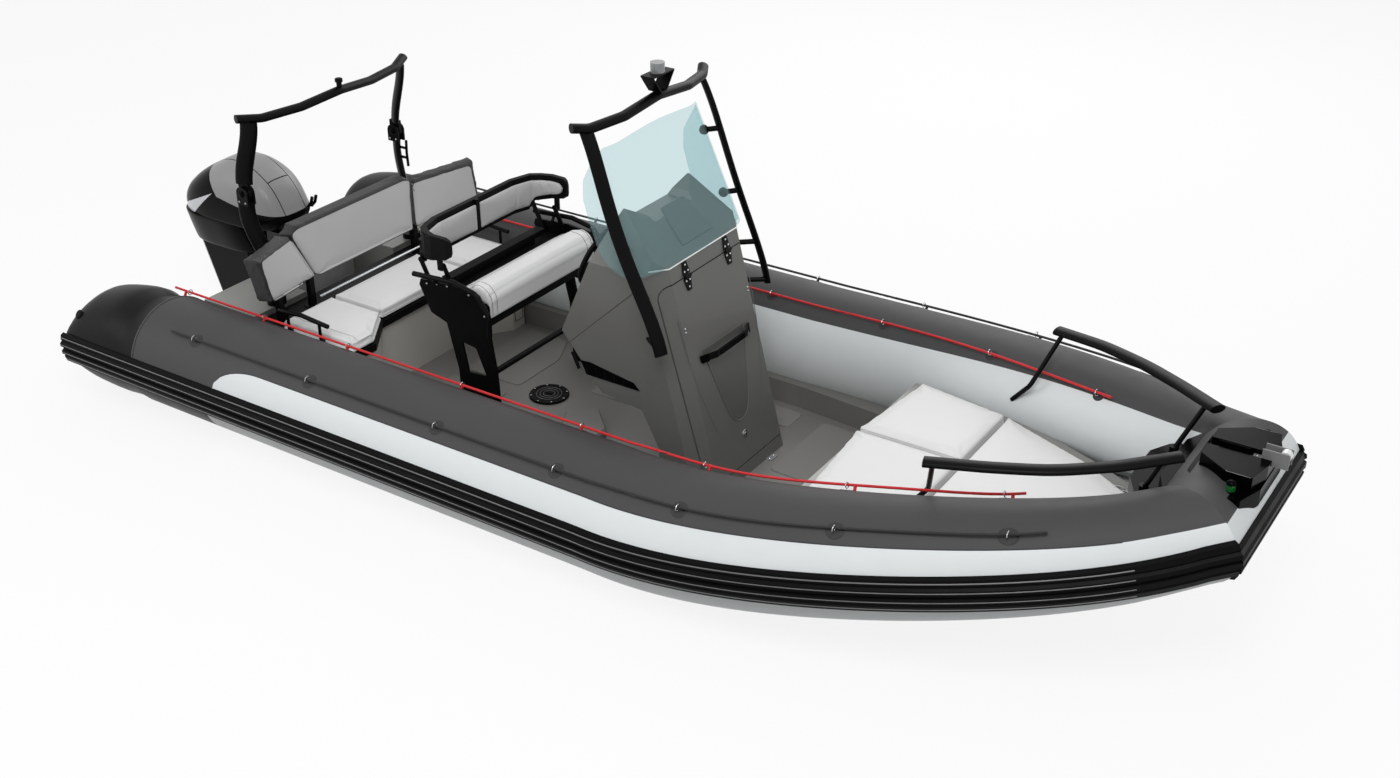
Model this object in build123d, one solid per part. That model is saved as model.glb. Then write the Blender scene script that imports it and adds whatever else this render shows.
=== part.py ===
from build123d import *
import math
import os

# Rigid inflatable boat with a centre console, a swing-back helm seat, an aft bench and an outboard.
# Millimetres. +X is forward, +Y is port, +Z is up. The origin is on the centreline at the
# waterline, amidships.

os.makedirs("parts", exist_ok=True)

# ---------------------------------------------------------------- driving dimensions
# inflatable collar: half-beam over the fabric, tube radius, height of the tube centre
HALF_BEAM = 1245.0
TUBE_R = 285.0
TUBE_Z = 300.0
TUBE_Y = HALF_BEAM - TUBE_R
CONE_START = -2290.0
CONE_END = -2812.0
STRAIGHT_END = 500.0
# stations of the curved forward part: x, y, z of the tube centre, tube radius
NOSE_X = 2806.0
NOSE_Y = 309.0
NOSE_Z = 655.0
NOSE_R = 200.0
STATIONS = [
    (STRAIGHT_END, TUBE_Y, TUBE_Z, TUBE_R),
    (900.0, 952.0, 316.0, 280.0),
    (1460.0, 866.0, 384.0, 265.0),
    (2170.0, 650.0, 500.0, 236.0),
    (2620.0, 428.0, 594.0, 211.0),
    (NOSE_X, NOSE_Y, NOSE_Z, NOSE_R),
]
SEAT_GAP = 0.5          # clearance of a piece that is bonded onto the tube
FIT = 0.3               # clearance of a piece that stands on another
RUN = 6.0               # clearance of pieces that move past each other
SHAFT = 0.06            # radial clearance of a pin or shaft in its bore

# rigid hull
TRANSOM_X = -2330.0
HULL_TOP = 30.0
SOLE_Z = 50.0
KEEL_Z = -240.0

# console
CONSOLE_HALF = 385.0
CONSOLE_WALL = 12.0
FRONT_HALF = 285.0      # half-width of the flat front, and how far its corners sweep back
FRONT_SWEEP = 75.0
DOOR_TOP = (360.0, 1080.0)
DOOR_LOW = (575.0, 250.0)
DOOR_HALF = 352.0
DOOR_H = 1005.0
DOOR_CORNER = 55.0
DOOR_T = 14.0
HINGE_Y = 170.0

# windscreen and steering wheel
SCREEN_LEAN = 0.465
SCREEN_HALF = 402.0
WHEEL_R = 175.0
WHEEL_Y = -60.0

# helm seat
SEAT_HALF = 450.0
SEAT_PLATE = 12.0

# aft bench
BENCH_TOP = 500.0

# outboard
TILT_X = -2395.0
TILT_Z = 560.0
STEER_X = -2520.0
PROP_X = -2830.0
PROP_Z = -400.0


def save(name, *solids):
    """Write the solids of one node to its STEP file."""
    shape = solids[0] if len(solids) == 1 else Compound(children=list(solids))
    export_step(shape, "parts/" + name + ".step")


def port_and_starboard(solid):
    """A piece and its mirror image."""
    return solid, mirror(solid, about=Plane.XZ)


def box(x0, x1, y0, y1, z0, z1):
    """A box from its corners."""
    centre = ((x0 + x1) / 2, (y0 + y1) / 2, (z0 + z1) / 2)
    return Pos(*centre) * Box(x1 - x0, y1 - y0, z1 - z0)


def side_prism(points, y0, y1):
    """A prism along Y of an outline given as (x, z) points."""
    outline = Polyline(*[(x, y0, z) for x, z in points], close=True)
    return extrude(make_face(outline), (y1 - y0), dir=(0, 1, 0))


def plan_prism(points, z0, z1):
    """A prism along Z of an outline given as (x, y) points."""
    outline = Polyline(*[(x, y, z0) for x, y in points], close=True)
    return extrude(make_face(outline), z1 - z0, dir=(0, 0, 1))


def both_sides(points):
    """Close an outline given for the port side with its mirror image."""
    return points + [(x, -y) for x, y in reversed(points)]


def rod(start, end, radius):
    """A round bar between two points."""
    a = Vector(*start)
    b = Vector(*end)
    plane = Plane(origin=a, z_dir=(b - a).normalized())
    return extrude(plane * Circle(radius), (b - a).length)


def bent_rod(points, radius, bend):
    """A round bar along straight runs that are joined by arcs."""
    path = FilletPolyline(*points, radius=bend)
    start = Plane(origin=path @ 0, z_dir=path % 0)
    return sweep(start * Circle(radius), path=path)


def flat_rod(points, half_width, half_height, bend):
    """A bar of flattened round section along straight runs joined by arcs."""
    path = FilletPolyline(*points, radius=bend)
    start = Plane(origin=path @ 0, x_dir=(0, 1, 0), z_dir=path % 0)
    return sweep(start * Ellipse(half_width, half_height), path=path)


def blade_leg(rows, toe):
    """A leg of flattened section through rows of (x, y, z, half-length, half-thickness)."""
    points = [Vector(*row[:3]) for row in rows]
    edge = Vector(math.cos(math.radians(toe)), -math.sin(math.radians(toe)), 0)
    sections = []
    for index, point in enumerate(points):
        after = points[min(index + 1, len(points) - 1)]
        before = points[max(index - 1, 0)]
        plane = Plane(origin=point, x_dir=edge, z_dir=(after - before).normalized())
        sections.append(plane * Ellipse(rows[index][3], rows[index][4]))
    return loft(sections)


# ---------------------------------------------------------------- inflatable collar
def station_tangent(index):
    """Direction of the tube centreline at a station."""
    before = Vector(*STATIONS[max(index - 1, 0)][:3])
    after = Vector(*STATIONS[min(index + 1, len(STATIONS) - 1)][:3])
    if index == 0:
        return Vector(1, 0, 0)
    return (after - before).normalized()


def station_plane(index):
    """Section plane at a station: local x points outboard, local y up."""
    x, y, z, _ = STATIONS[index]
    tangent = station_tangent(index)
    outboard = Vector(-tangent.Y, tangent.X, 0).normalized()
    return Plane(origin=(x, y, z), x_dir=outboard, z_dir=tangent)


def oval(plane, inboard, outboard, top, bottom):
    """A closed section of four quarter ellipses."""
    quarters = Curve() + [
        EllipticalCenterArc((0, 0), outboard, top, 0, arc_size=90),
        EllipticalCenterArc((0, 0), inboard, top, 90, arc_size=90),
        EllipticalCenterArc((0, 0), inboard, bottom, 180, arc_size=90),
        EllipticalCenterArc((0, 0), outboard, bottom, 270, arc_size=90),
    ]
    return plane * make_face(quarters)


def tube_loft(grow=0.0):
    """The port tube from its stern cone to the nose, thickened by grow."""
    r = TUBE_R + grow
    cone = []
    for x, inner, top, bottom in (
        (CONE_START, 1.0, 1.0, 1.0),
        (-2480.0, 0.99, 0.985, 1.0),
        (-2600.0, 0.96, 0.94, 0.99),
        (-2700.0, 0.89, 0.865, 0.95),
        (-2760.0, 0.80, 0.775, 0.87),
        (-2795.0, 0.69, 0.66, 0.76),
        (CONE_END, 0.52, 0.48, 0.58),
    ):
        plane = Plane(origin=(x, TUBE_Y, TUBE_Z), x_dir=(0, 1, 0), z_dir=(1, 0, 0))
        cone.append(oval(plane, r * inner, r, r * top, r * bottom))
    stern = loft(cone)
    straight_plane = Plane(origin=(CONE_START, TUBE_Y, TUBE_Z), z_dir=(1, 0, 0))
    straight = extrude(straight_plane * Circle(r), STRAIGHT_END - CONE_START)
    sections = []
    for index, station in enumerate(STATIONS):
        r_here = station[3] + grow
        sections.append(oval(station_plane(index), r_here, r_here, r_here, r_here))
    forward = loft(sections)
    end_plane = station_plane(len(STATIONS) - 1)
    tail = extrude(end_plane * Circle(NOSE_R + grow), NOSE_R * 1.2)
    return stern + straight + forward + tail


def mitre_plane():
    """The plane where the port tube meets the nose, facing the nose."""
    along = station_tangent(len(STATIONS) - 1)
    across = Vector(0, -1, 0)
    return Plane(origin=(NOSE_X, NOSE_Y, NOSE_Z), z_dir=(along + across).normalized())


def nose_solid(grow=0.0):
    """The transverse nose between the two mitres."""
    radius = NOSE_R + grow
    plane = Plane(origin=(NOSE_X, -900, NOSE_Z), z_dir=(0, 1, 0))
    bar = extrude(plane * Circle(radius), 1800)
    cut = mitre_plane()
    bar = split(bar, bisect_by=cut, keep=Keep.TOP)
    other = Plane(
        origin=(cut.origin.X, -cut.origin.Y, cut.origin.Z),
        z_dir=(cut.z_dir.X, -cut.z_dir.Y, cut.z_dir.Z),
    )
    return split(bar, bisect_by=other, keep=Keep.TOP)


def port_tube_solid(grow=0.0):
    """The port tube, cut at the mitre."""
    return split(tube_loft(grow), bisect_by=mitre_plane(), keep=Keep.BOTTOM)


# rubbing strake: two ribbed rubber mouldings, as (height, thickness over the tube)
STRAKE_OUTER = [
    (72, 4), (64, 17), (40, 19), (33, 12), (22, 24), (4, 24), (-4, 10),
    (-14, 10), (-22, 24), (-40, 24), (-50, 12), (-60, 18), (-88, 16), (-100, 4),
]


def strake_face(plane, radius):
    """Section of the strake on a tube of the given radius."""
    def over(height, thickness):
        return math.sqrt(radius ** 2 - height ** 2) + thickness
    high = STRAKE_OUTER[0][0]
    low = STRAKE_OUTER[-1][0]
    outer = [(over(h, t), h) for h, t in STRAKE_OUTER]
    back_top = (over(high, SEAT_GAP), high)
    back_mid = (radius + SEAT_GAP, 0)
    back_low = (over(low, SEAT_GAP), low)
    edges = [Line(back_top, outer[0])]
    edges += [Line(a, b) for a, b in zip(outer, outer[1:])]
    edges.append(Line(outer[-1], back_low))
    edges.append(ThreePointArc(back_low, back_mid, back_top))
    return plane * make_face(Curve() + edges)


def port_strake_solid():
    """The port strake from the stern to the mitre."""
    start = Plane(origin=(CONE_END, TUBE_Y, TUBE_Z), x_dir=(0, 1, 0), z_dir=(1, 0, 0))
    straight = extrude(strake_face(start, TUBE_R), STRAIGHT_END - CONE_END)
    sections = []
    for index, station in enumerate(STATIONS):
        sections.append(strake_face(station_plane(index), station[3]))
    forward = loft(sections)
    end_plane = station_plane(len(STATIONS) - 1)
    tail = extrude(strake_face(end_plane, NOSE_R), NOSE_R * 1.2)
    whole = straight + forward + tail
    return split(whole, bisect_by=mitre_plane(), keep=Keep.BOTTOM)


def nose_strake_solid():
    """The strake across the nose."""
    face = strake_face(Plane(origin=(NOSE_X, 900, NOSE_Z), x_dir=(1, 0, 0), z_dir=(0, -1, 0)), NOSE_R)
    bar = extrude(face, 1800)
    cut = mitre_plane()
    other = Plane(
        origin=(cut.origin.X, -cut.origin.Y, cut.origin.Z),
        z_dir=(cut.z_dir.X, -cut.z_dir.Y, cut.z_dir.Z),
    )
    bar = split(bar, bisect_by=cut, keep=Keep.TOP)
    return split(bar, bisect_by=other, keep=Keep.TOP)


tube_clear = port_tube_solid(SEAT_GAP)
nose_clear = nose_solid(SEAT_GAP)


def clear_of_collar(solid):
    """Cut a piece back to the collar, less the bonding clearance."""
    solid = solid - tube_clear
    solid = solid - mirror(tube_clear, about=Plane.XZ)
    return solid - nose_clear


def make_collar():
    port = port_tube_solid()
    save("port_tube", port)
    save("starboard_tube", mirror(port, about=Plane.XZ))
    save("bow_tube", nose_solid())
    strake = port_strake_solid()
    save("port_strake", strake)
    save("starboard_strake", mirror(strake, about=Plane.XZ))
    save("bow_strake", nose_strake_solid())


# ---------------------------------------------------------------- grab lines on the tubes
def on_tube(x, angle, height):
    """A point near the port tube at x, at an angle up from outboard, height off the fabric."""
    a = math.radians(angle)
    if x <= STRAIGHT_END:
        reach = TUBE_R + height
        return (x, TUBE_Y + reach * math.cos(a), TUBE_Z + reach * math.sin(a))
    for index in range(len(STATIONS) - 1):
        x0, y0, z0, r0 = STATIONS[index]
        x1, y1, z1, r1 = STATIONS[index + 1]
        if x <= x1:
            break
    t = (x - x0) / (x1 - x0)
    out0 = station_plane(index).x_dir
    out1 = station_plane(index + 1).x_dir
    out = out0 * (1 - t) + out1 * t
    reach = r0 + (r1 - r0) * t + height
    centre = Vector(x, y0 + (y1 - y0) * t, z0 + (z1 - z0) * t)
    point = centre + out * (reach * math.cos(a)) + Vector(0, 0, reach * math.sin(a))
    return (point.X, point.Y, point.Z)


LINE_R = 6.0
LINE_HEIGHT = 20.0


def line_angle(table, x):
    """Angle of a grab line on the tube at x, between the rows of its table of (x, angle)."""
    for (x0, a0), (x1, a1) in zip(table, table[1:]):
        if x <= x1:
            break
    t = min(max((x - x0) / (x1 - x0), 0.0), 1.0)
    return a0 + (a1 - a0) * t


def grab_line(eyes, table, overhang):
    """One line with its eyes: the line passes through them and the eyes stand on the fabric."""
    def at(x, height):
        return on_tube(x, line_angle(table, x), height)
    line = rod(at(eyes[0] - overhang, LINE_HEIGHT), at(STRAIGHT_END, LINE_HEIGHT), LINE_R)
    stops = [STRAIGHT_END, 700.0] + [x for x in eyes if x > 700] + [eyes[-1] + overhang * 0.6]
    points = [Vector(*at(x, LINE_HEIGHT)) for x in stops]
    sections = []
    for index, point in enumerate(points):
        after = points[min(index + 1, len(points) - 1)]
        before = points[max(index - 1, 0)]
        tangent = Vector(1, 0, 0) if index == 0 else (after - before).normalized()
        sections.append(Plane(origin=point, x_dir=(0, 0, 1), z_dir=tangent) * Circle(LINE_R))
    line += loft(sections)
    for x in eyes:
        line += rod(at(x, -12), at(x, LINE_HEIGHT), 7)
    return line - tube_clear


INNER_EYES = (-2320, -1750, -1180, -460, 230, 915, 1565, 2185)
INNER_ANGLES = ((900, 119), (1530, 123.3), (2124, 131))
OUTER_EYES = (-1900, -1130, -345, 325, 950, 1590, 2210)
OUTER_ANGLES = ((0, 54), (2200, 54))


def make_lines():
    save("inner_grab_lines", *port_and_starboard(grab_line(INNER_EYES, INNER_ANGLES, 80)))
    save("outer_grab_lines", *port_and_starboard(grab_line(OUTER_EYES, OUTER_ANGLES, 160)))


# ---------------------------------------------------------------- hull and liner
# hull sections: x, keel height, chine half-width, chine height, flange half-width, flange height
HULL_SECTIONS = [
    (TRANSOM_X, -225.0, 800.0, 0.0, 880.0, HULL_TOP),
    (-500.0, KEEL_Z, 800.0, 0.0, 880.0, HULL_TOP),
    (600.0, -235.0, 795.0, 8.0, 875.0, HULL_TOP),
    (1165.0, -212.0, 748.0, 16.0, 825.0, HULL_TOP),
    (1300.0, -202.0, 725.0, 32.0, 800.0, 90.0),
    (1950.0, -95.0, 560.0, 130.0, 640.0, 230.0),
    (2400.0, 80.0, 380.0, 240.0, 480.0, 360.0),
    (2780.0, 330.0, 170.0, 400.0, 240.0, 480.0),
]


def hull_section(x, keel, chine_y, chine_z, top_y, top_z):
    points = [(x, 0, keel), (x, chine_y, chine_z), (x, top_y, top_z), (x, -top_y, top_z),
              (x, -chine_y, chine_z)]
    return make_face(Polyline(*points, close=True))


def under_hull_top():
    """Everything below the top of the hull, to cut what stands on it."""
    faces = []
    for x, _, _, _, _, top in HULL_SECTIONS:
        z = top + FIT
        corners = [(x, -1100, -900), (x, 1100, -900), (x, 1100, z), (x, -1100, z)]
        faces.append(make_face(Polyline(*corners, close=True)))
    return loft(faces, ruled=True)


def make_hull():
    body = loft([hull_section(*row) for row in HULL_SECTIONS], ruled=True)
    transom = box(TRANSOM_X, TRANSOM_X + 60, -330, 330, HULL_TOP - 5, 470)
    hull = clear_of_collar(body + transom)
    save("hull", hull)


LOCKER_AFT = 1165.0
COAMING_Z = 175.0


def make_liner():
    """Sole and side coamings of the cockpit, from the transom to the bow locker."""
    sole = plan_prism(
        [(TRANSOM_X + 60 + FIT, -860), (600, -860), (LOCKER_AFT - FIT, -800), (LOCKER_AFT - FIT, 800),
         (600, 860), (TRANSOM_X + 60 + FIT, 860)],
        HULL_TOP + FIT, SOLE_Z)
    walls = []
    for side in (1, -1):
        wall = plan_prism(
            [(TRANSOM_X + 60 + FIT, side * 655), (500, side * 655), (LOCKER_AFT - FIT, side * 600),
             (LOCKER_AFT - FIT, side * 800), (500, side * 860), (TRANSOM_X + 60 + FIT, side * 860)],
            SOLE_Z - 1, COAMING_Z)
        walls.append(wall)
    liner = clear_of_collar(sole + walls[0] + walls[1])
    save("cockpit_liner", liner)


def make_bow():
    """Locker under the sunpad, the three pads, and the black bow step unit."""
    top = 405.0
    locker = plan_prism(
        [(LOCKER_AFT, -620), (LOCKER_AFT, 620), (1750, 560), (2180, 390), (2560, 190), (2560, -190),
         (2180, -390), (1750, -560)],
        SOLE_Z + FIT, top)
    locker = clear_of_collar(locker - under_hull_top())
    save("bow_locker", locker)
    pad_low = top + FIT
    pad_high = pad_low + 62
    aft = LOCKER_AFT + 5
    seam = 1695.0
    port_pad = plan_prism([(aft, 3), (aft + 55, 560), (seam, 485), (seam, 3)], pad_low, pad_high)
    fore_pad = plan_prism(
        both_sides([(seam + 6, 480), (2150, 300), (2330, 190), (2465, 105)]), pad_low, pad_high)
    save("bow_pads", *port_and_starboard(clear_of_collar(port_pad)), clear_of_collar(fore_pad))


BOW_TOP = 900.0
BOW_STEP = 706.0


def make_bow_fittings():
    """Step unit over the nose with a roller channel along its middle, cleat, roller and lights."""
    shoulder = 835.0
    channel_z = BOW_TOP - 26
    body = plan_prism(both_sides([(2700, 150), (2790, 300), (2944, 275), (2985, 150)]), 760, shoulder)
    top = plan_prism(both_sides([(2729, 109), (2846, 192), (2958, 197), (2982, 69)]), shoulder - 7, BOW_TOP)
    low_step = plan_prism(both_sides([(2470, 120), (2520, 215), (2660, 320)]), 640, BOW_STEP)
    high_step = plan_prism(both_sides([(2600, 160), (2640, 250), (2800, 300)]), 640, 780)
    channel = box(2690, 3010, -30, 30, channel_z, BOW_TOP + 20)
    save("bow_step", clear_of_collar(body + top + low_step + high_step - channel))
    floor = channel_z + FIT
    bar_z = BOW_TOP + 10
    cleat = box(2800, 2860, -10, 10, floor, BOW_TOP + 6) + rod((2770, 0, bar_z), (2890, 0, bar_z), 9)
    save("bow_cleat", cleat)
    cheek = box(2940, 3045, 22, 28, floor, 940)
    frame = cheek + mirror(cheek, about=Plane.XZ) + box(2900, 2975, -28, 28, floor, floor + 6)
    frame += rod((3025, -28, 922), (3025, 28, 922), 5)
    save("anchor_roller_frame", frame)
    roller = rod((3025, -16, 922), (3025, 16, 922), 22) - rod((3025, -20, 922), (3025, 20, 922), 5.06)
    save("anchor_roller", roller)
    light_h = 43.0
    light = clear_of_collar(Pos(2891, 227, shoulder + FIT + light_h / 2) * Cylinder(19, light_h))
    save("port_nav_light", light)
    save("starboard_nav_light", mirror(light, about=Plane.XZ))


def make_bow_rails():
    """A wing-section rail over each shoulder of the bow, on two legs."""
    line = [(1817, 682, 843), (2060, 614, 863), (2286, 518, 874), (2490, 383, 892), (2688, 222, 920)]
    rail = flat_rod(line, 36, 18, 1000)
    aft = bent_rod([on_tube(1745, 163, -15), (1775, 520, 618), (1849, 665, 836)], 11, 40)
    foot_z = BOW_STEP + FIT
    fore = rod((2553, 183, foot_z + 10), (2630, 258, 905), 11)
    fore += rod((2550, 180, foot_z), (2550, 180, foot_z + 16), 20)
    save("bow_rails", *port_and_starboard(clear_of_collar(rail + aft + fore)))


# ---------------------------------------------------------------- console
def door_line(z):
    """Forward position of the door plane at a height."""
    (x1, z1), (x2, z2) = DOOR_TOP, DOOR_LOW
    return x1 + (z1 - z) * (x2 - x1) / (z1 - z2)


def door_frame():
    """The middle of the door's top edge, the way up its slope and the way out of it."""
    top = Vector(DOOR_TOP[0], 0, DOOR_TOP[1])
    lean = (top - Vector(DOOR_LOW[0], 0, DOOR_LOW[1])).normalized()
    return top, lean, Vector(lean.Z, 0, -lean.X)


def console_outer(inset):
    """The console moulding, or its inside when inset by the wall."""
    low = SOLE_Z + FIT
    half = CONSOLE_HALF - inset
    side = [
        (door_line(low) - inset, low + inset), (door_line(1150) - inset, 1150 - inset),
        (95, 1376 - inset * 1.6), (84 + inset * 0.3, 1376 - inset * 1.6), (30 + inset, 1276 - inset),
        (-200 + inset * 1.4, 744), (-156 + inset, 693 + inset), (22 + inset, 474 + inset),
        (250 + inset, 450 + inset), (345 + inset, 270), (345 + inset, low + inset),
    ]
    body = side_prism(side, -half, half)
    # seen from ahead: sides, shoulders, an ear at each side and the lower top between them
    ahead = both_sides([
        (low - 20, half), (760, half), (1127, half - 12), (1376 - inset, 259 - inset * 0.6),
        (1327 - inset, 171), (1296 - inset, 151)])
    front = make_face(Polyline(*[(-400, y, z) for z, y in ahead], close=True))
    body = body & extrude(front, 1200, dir=(1, 0, 0))
    # looking down the slope of the front: a flat face with a swept-back corner at each side
    top, lean, out = door_frame()
    run = CONSOLE_HALF - FRONT_HALF
    length = math.hypot(run, FRONT_SWEEP)
    past = 30.0
    plan = both_sides([
        (past, FRONT_HALF - past * run / FRONT_SWEEP - inset * length / FRONT_SWEEP),
        (-FRONT_SWEEP - inset * (length - FRONT_SWEEP) / run, half), (-1100, half)])
    start = top - lean * 1200
    corners = [start + out * depth + Vector(0, y, 0) for depth, y in plan]
    section = make_face(Polyline(*[tuple(c) for c in corners], close=True))
    return body & extrude(section, 1700, dir=lean)



def door_block(clearance, outside, inside):
    """A block of the door's outline between two distances out from the door plane."""
    top, lean, out = door_frame()
    turn = DOOR_CORNER - clearance
    outline = [(-DOOR_CORNER + turn * math.cos(math.radians(a)),
                DOOR_HALF - DOOR_CORNER + turn * math.sin(math.radians(a))) for a in (0, 30, 60, 90)]
    outline = both_sides(outline + [(-DOOR_H + clearance, DOOR_HALF - clearance - 20)])
    corners = [top + lean * rise + Vector(0, y, 0) + out * inside for rise, y in outline]
    face = make_face(Polyline(*[tuple(c) for c in corners], close=True))
    return extrude(face, outside - inside, dir=out)


def make_console():
    shell = console_outer(0) - console_outer(CONSOLE_WALL)
    save("console_body", shell - door_block(0, 40, -130))
    door = console_outer(0) - console_outer(DOOR_T)
    save("console_door", door & door_block(RUN, 40, -130))
    top, lean, out = door_frame()
    pin = top + out * 9
    fixed = []
    moving = []
    for y in (-HINGE_Y, HINGE_Y):
        upper = hinge_leaf(top, lean, out, y, 1) + rod((pin.X, y - 10, pin.Z), (pin.X, y + 10, pin.Z), 7)
        upper += rod((pin.X, y - 24, pin.Z), (pin.X, y + 24, pin.Z), 3)
        fixed.append(upper)
        lower = hinge_leaf(top, lean, out, y, -1)
        for offset in (-24, 11):
            lower += rod((pin.X, y + offset, pin.Z), (pin.X, y + offset + 13, pin.Z), 7)
        lower -= rod((pin.X, y - 30, pin.Z), (pin.X, y + 30, pin.Z), 3 + SHAFT)
        moving.append(lower)
    save("console_hinges", *fixed)
    save("door_hinges", *moving)
    mid = top - lean * 398
    grip = [mid + Vector(0, -208, 0), mid + Vector(0, -130, 0) + out * 45,
            mid + Vector(0, 130, 0) + out * 45, mid + Vector(0, 208, 0)]
    path = Polyline(*[tuple(p) for p in grip])
    start = Plane(origin=path @ 0, z_dir=path % 0)
    strap = sweep(start * Rectangle(6, 34), path=path, transition=Transition.RIGHT)
    save("door_handle", strap - door_block(-100, FIT, -60))


def hinge_leaf(top, lean, out, y, direction):
    """One leaf of a hinge, lying on the face above (+1) or below (-1) the hinge line."""
    near = top + lean * (direction * 9)
    far = top + lean * (direction * 68)
    width = 28
    corners = [near + Vector(0, y - width, 0), near + Vector(0, y + width, 0),
               far + Vector(0, y + width * 0.55, 0), far + Vector(0, y - width * 0.55, 0)]
    corners = [c + out * FIT for c in corners]
    face = make_face(Polyline(*[(c.X, c.Y, c.Z) for c in corners], close=True))
    leaf = extrude(face, 5, dir=out)
    # knuckle arms from the leaf to the pin
    arms = ((y - 10, y + 10),) if direction > 0 else ((y - 24, y - 11), (y + 11, y + 24))
    for y0, y1 in arms:
        foot = [near + out * FIT, near + out * 5.3, top + out * 13, top + out * 6]
        arm = make_face(Polyline(*[(c.X, y0, c.Z) for c in foot], close=True))
        leaf += extrude(arm, y1 - y0, dir=(0, 1, 0))
    return leaf


def make_windscreen():
    toe = 30.0
    leg = blade_leg([
        (28, 450, 1802, 31, 12.5), (128, 466, 1555, 31, 12.5), (225, 470, 1290, 31, 12.5),
        (318, 465, 1080, 31, 12.5), (416, 458, 814, 31, 12.5)], toe)
    bar = [(5, 515, 1812), (48, 440, 1797), (92, 250, 1806), (100, 0, 1833), (92, -250, 1806),
           (48, -440, 1797), (5, -515, 1812)]
    hoop = flat_rod(bar, 26, 20, 120)
    upper = rod((132, 466, 1545), (70, 390, 1545), 13) + rod((240, 470, 1253), (180, 390, 1253), 13)
    upper -= box(-500, 600, -500, SCREEN_HALF + FIT, 1000, 2000)
    lower = rod((344, 463, 1013), (230, 365, 1013), 13) + rod((409, 459, 830), (285, 370, 830), 13)
    side = leg + upper + (lower - console_outer(-FIT))
    save("windscreen_frame", hoop + side + mirror(side, about=Plane.XZ))
    save("windscreen", screen_solid())
    foot = 1853 + FIT
    shelf = 1932.0
    vee = both_sides([(foot, 22), (shelf, 82), (shelf + 6, 82)])
    hollow = both_sides([(foot + 6, 18), (shelf, 76)])
    folded = [extrude(make_face(Polyline(*[(x, y, z) for z, y in outline], close=True)), depth, dir=(1, 0, 0))
              for x, depth, outline in ((65, 70, vee), (60, 80, hollow))]
    bracket = folded[0] - folded[1] + rod((100, 0, shelf), (100, 0, shelf + 6), 36)
    save("lamp_bracket", bracket + rod((100, 0, foot), (100, 0, foot + 8), 26))
    save("masthead_light", rod((100, 0, shelf + 6 + FIT), (100, 0, 1984), 33))


def screen_solid():
    """Curved clear screen that stands on the front edge of the console, with a wing at each side."""
    foot = 1060.0
    shift = (1118.0 - foot) * SCREEN_LEAN
    half = SCREEN_HALF
    outer = [(-60, half), (262, half), (312, half - 22), (340, 270), (349, 0)]
    inner = [(x - (0 if x < 0 else 5), y - (6 if x < 280 else 4)) for x, y in outer]
    inner[-1] = (343, 0)
    ring = outer + [(x, -y) for x, y in reversed(outer[:-1])]
    ring += [(x, -y) for x, y in inner[:-1]] + list(reversed(inner))
    face = make_face(Polyline(*[(x + shift, y, foot) for x, y in ring], close=True))
    sheet = extrude(face, 900, dir=Vector(-SCREEN_LEAN, 0, 1).normalized())
    outline = [(400, 1118), (290, 1118), (226, 1072), (45, 1287), (-16, 1397), (-28, 1510), (26, 1613),
               (64, 1700), (110, 1712), (200, 1712)]
    return (sheet & side_prism(outline, -500, 500)) - console_outer(-FIT)


def make_helm_controls():
    """Steering wheel on the sloping dash, and the throttle lever beside it."""
    slope = Vector(30 + 200, 0, 1276 - 744).normalized()
    out = Vector(-slope.Z, 0, slope.X)
    face_point = Vector(-95, WHEEL_Y, 987)
    hub_end = face_point + out * 70
    hub = rod(tuple(face_point + out * FIT), tuple(hub_end), 26)
    hub += rod(tuple(hub_end - out), tuple(hub_end + out * (RUN + 20)), 9)
    save("steering_hub", hub)
    centre = face_point + out * (70 + RUN + 12)
    plane = Plane(origin=centre, x_dir=(0, 1, 0), z_dir=out)
    rim = plane * Torus(WHEEL_R, 13)
    boss = extrude(plane.offset(-11) * Circle(34), 22)
    wheel = rim + boss
    for turn in (90, 210, 330):
        a = math.radians(turn)
        tip = centre + plane.x_dir * (WHEEL_R * math.cos(a)) + plane.y_dir * (WHEEL_R * math.sin(a))
        wheel += rod(tuple(centre), tuple(tip), 7)
    wheel -= rod(tuple(hub_end), tuple(hub_end + out * (RUN + 21)), 9 + SHAFT)
    save("steering_wheel", wheel)
    base = Vector(-60, -215, 1068)
    lever = rod(tuple(base + out * FIT), tuple(base + out * 45), 32)
    lever += rod(tuple(base + out * 40), tuple(base + out * 45 + Vector(-30, 0, 130)), 9)
    save("throttle", lever)


# ---------------------------------------------------------------- helm seat
PLATE_OUTLINE = [
    (-1015, 800), (-952, 664), (-856, 633), (-800, 395), (-790, SOLE_Z + FIT), (-530, SOLE_Z + FIT),
    (-549, 274), (-557, 444), (-585, 633), (-580, 740), (-640, 830), (-800, 845), (-1005, 830),
]
PLATE_WINDOW = [(-768, 554), (-679, 541), (-625, 405), (-738, 395)]
ARM_LOW = ((-945, 790), (-800, 790))
ARM_Y = (431, 439)
PIVOT_R = 6.0
ARM_SWEEP = (-65, 135)
# heights of the backrest: bottom of its middle, bottom at its corners, top
BACK_Z = (905, 950, 1090)


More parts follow.
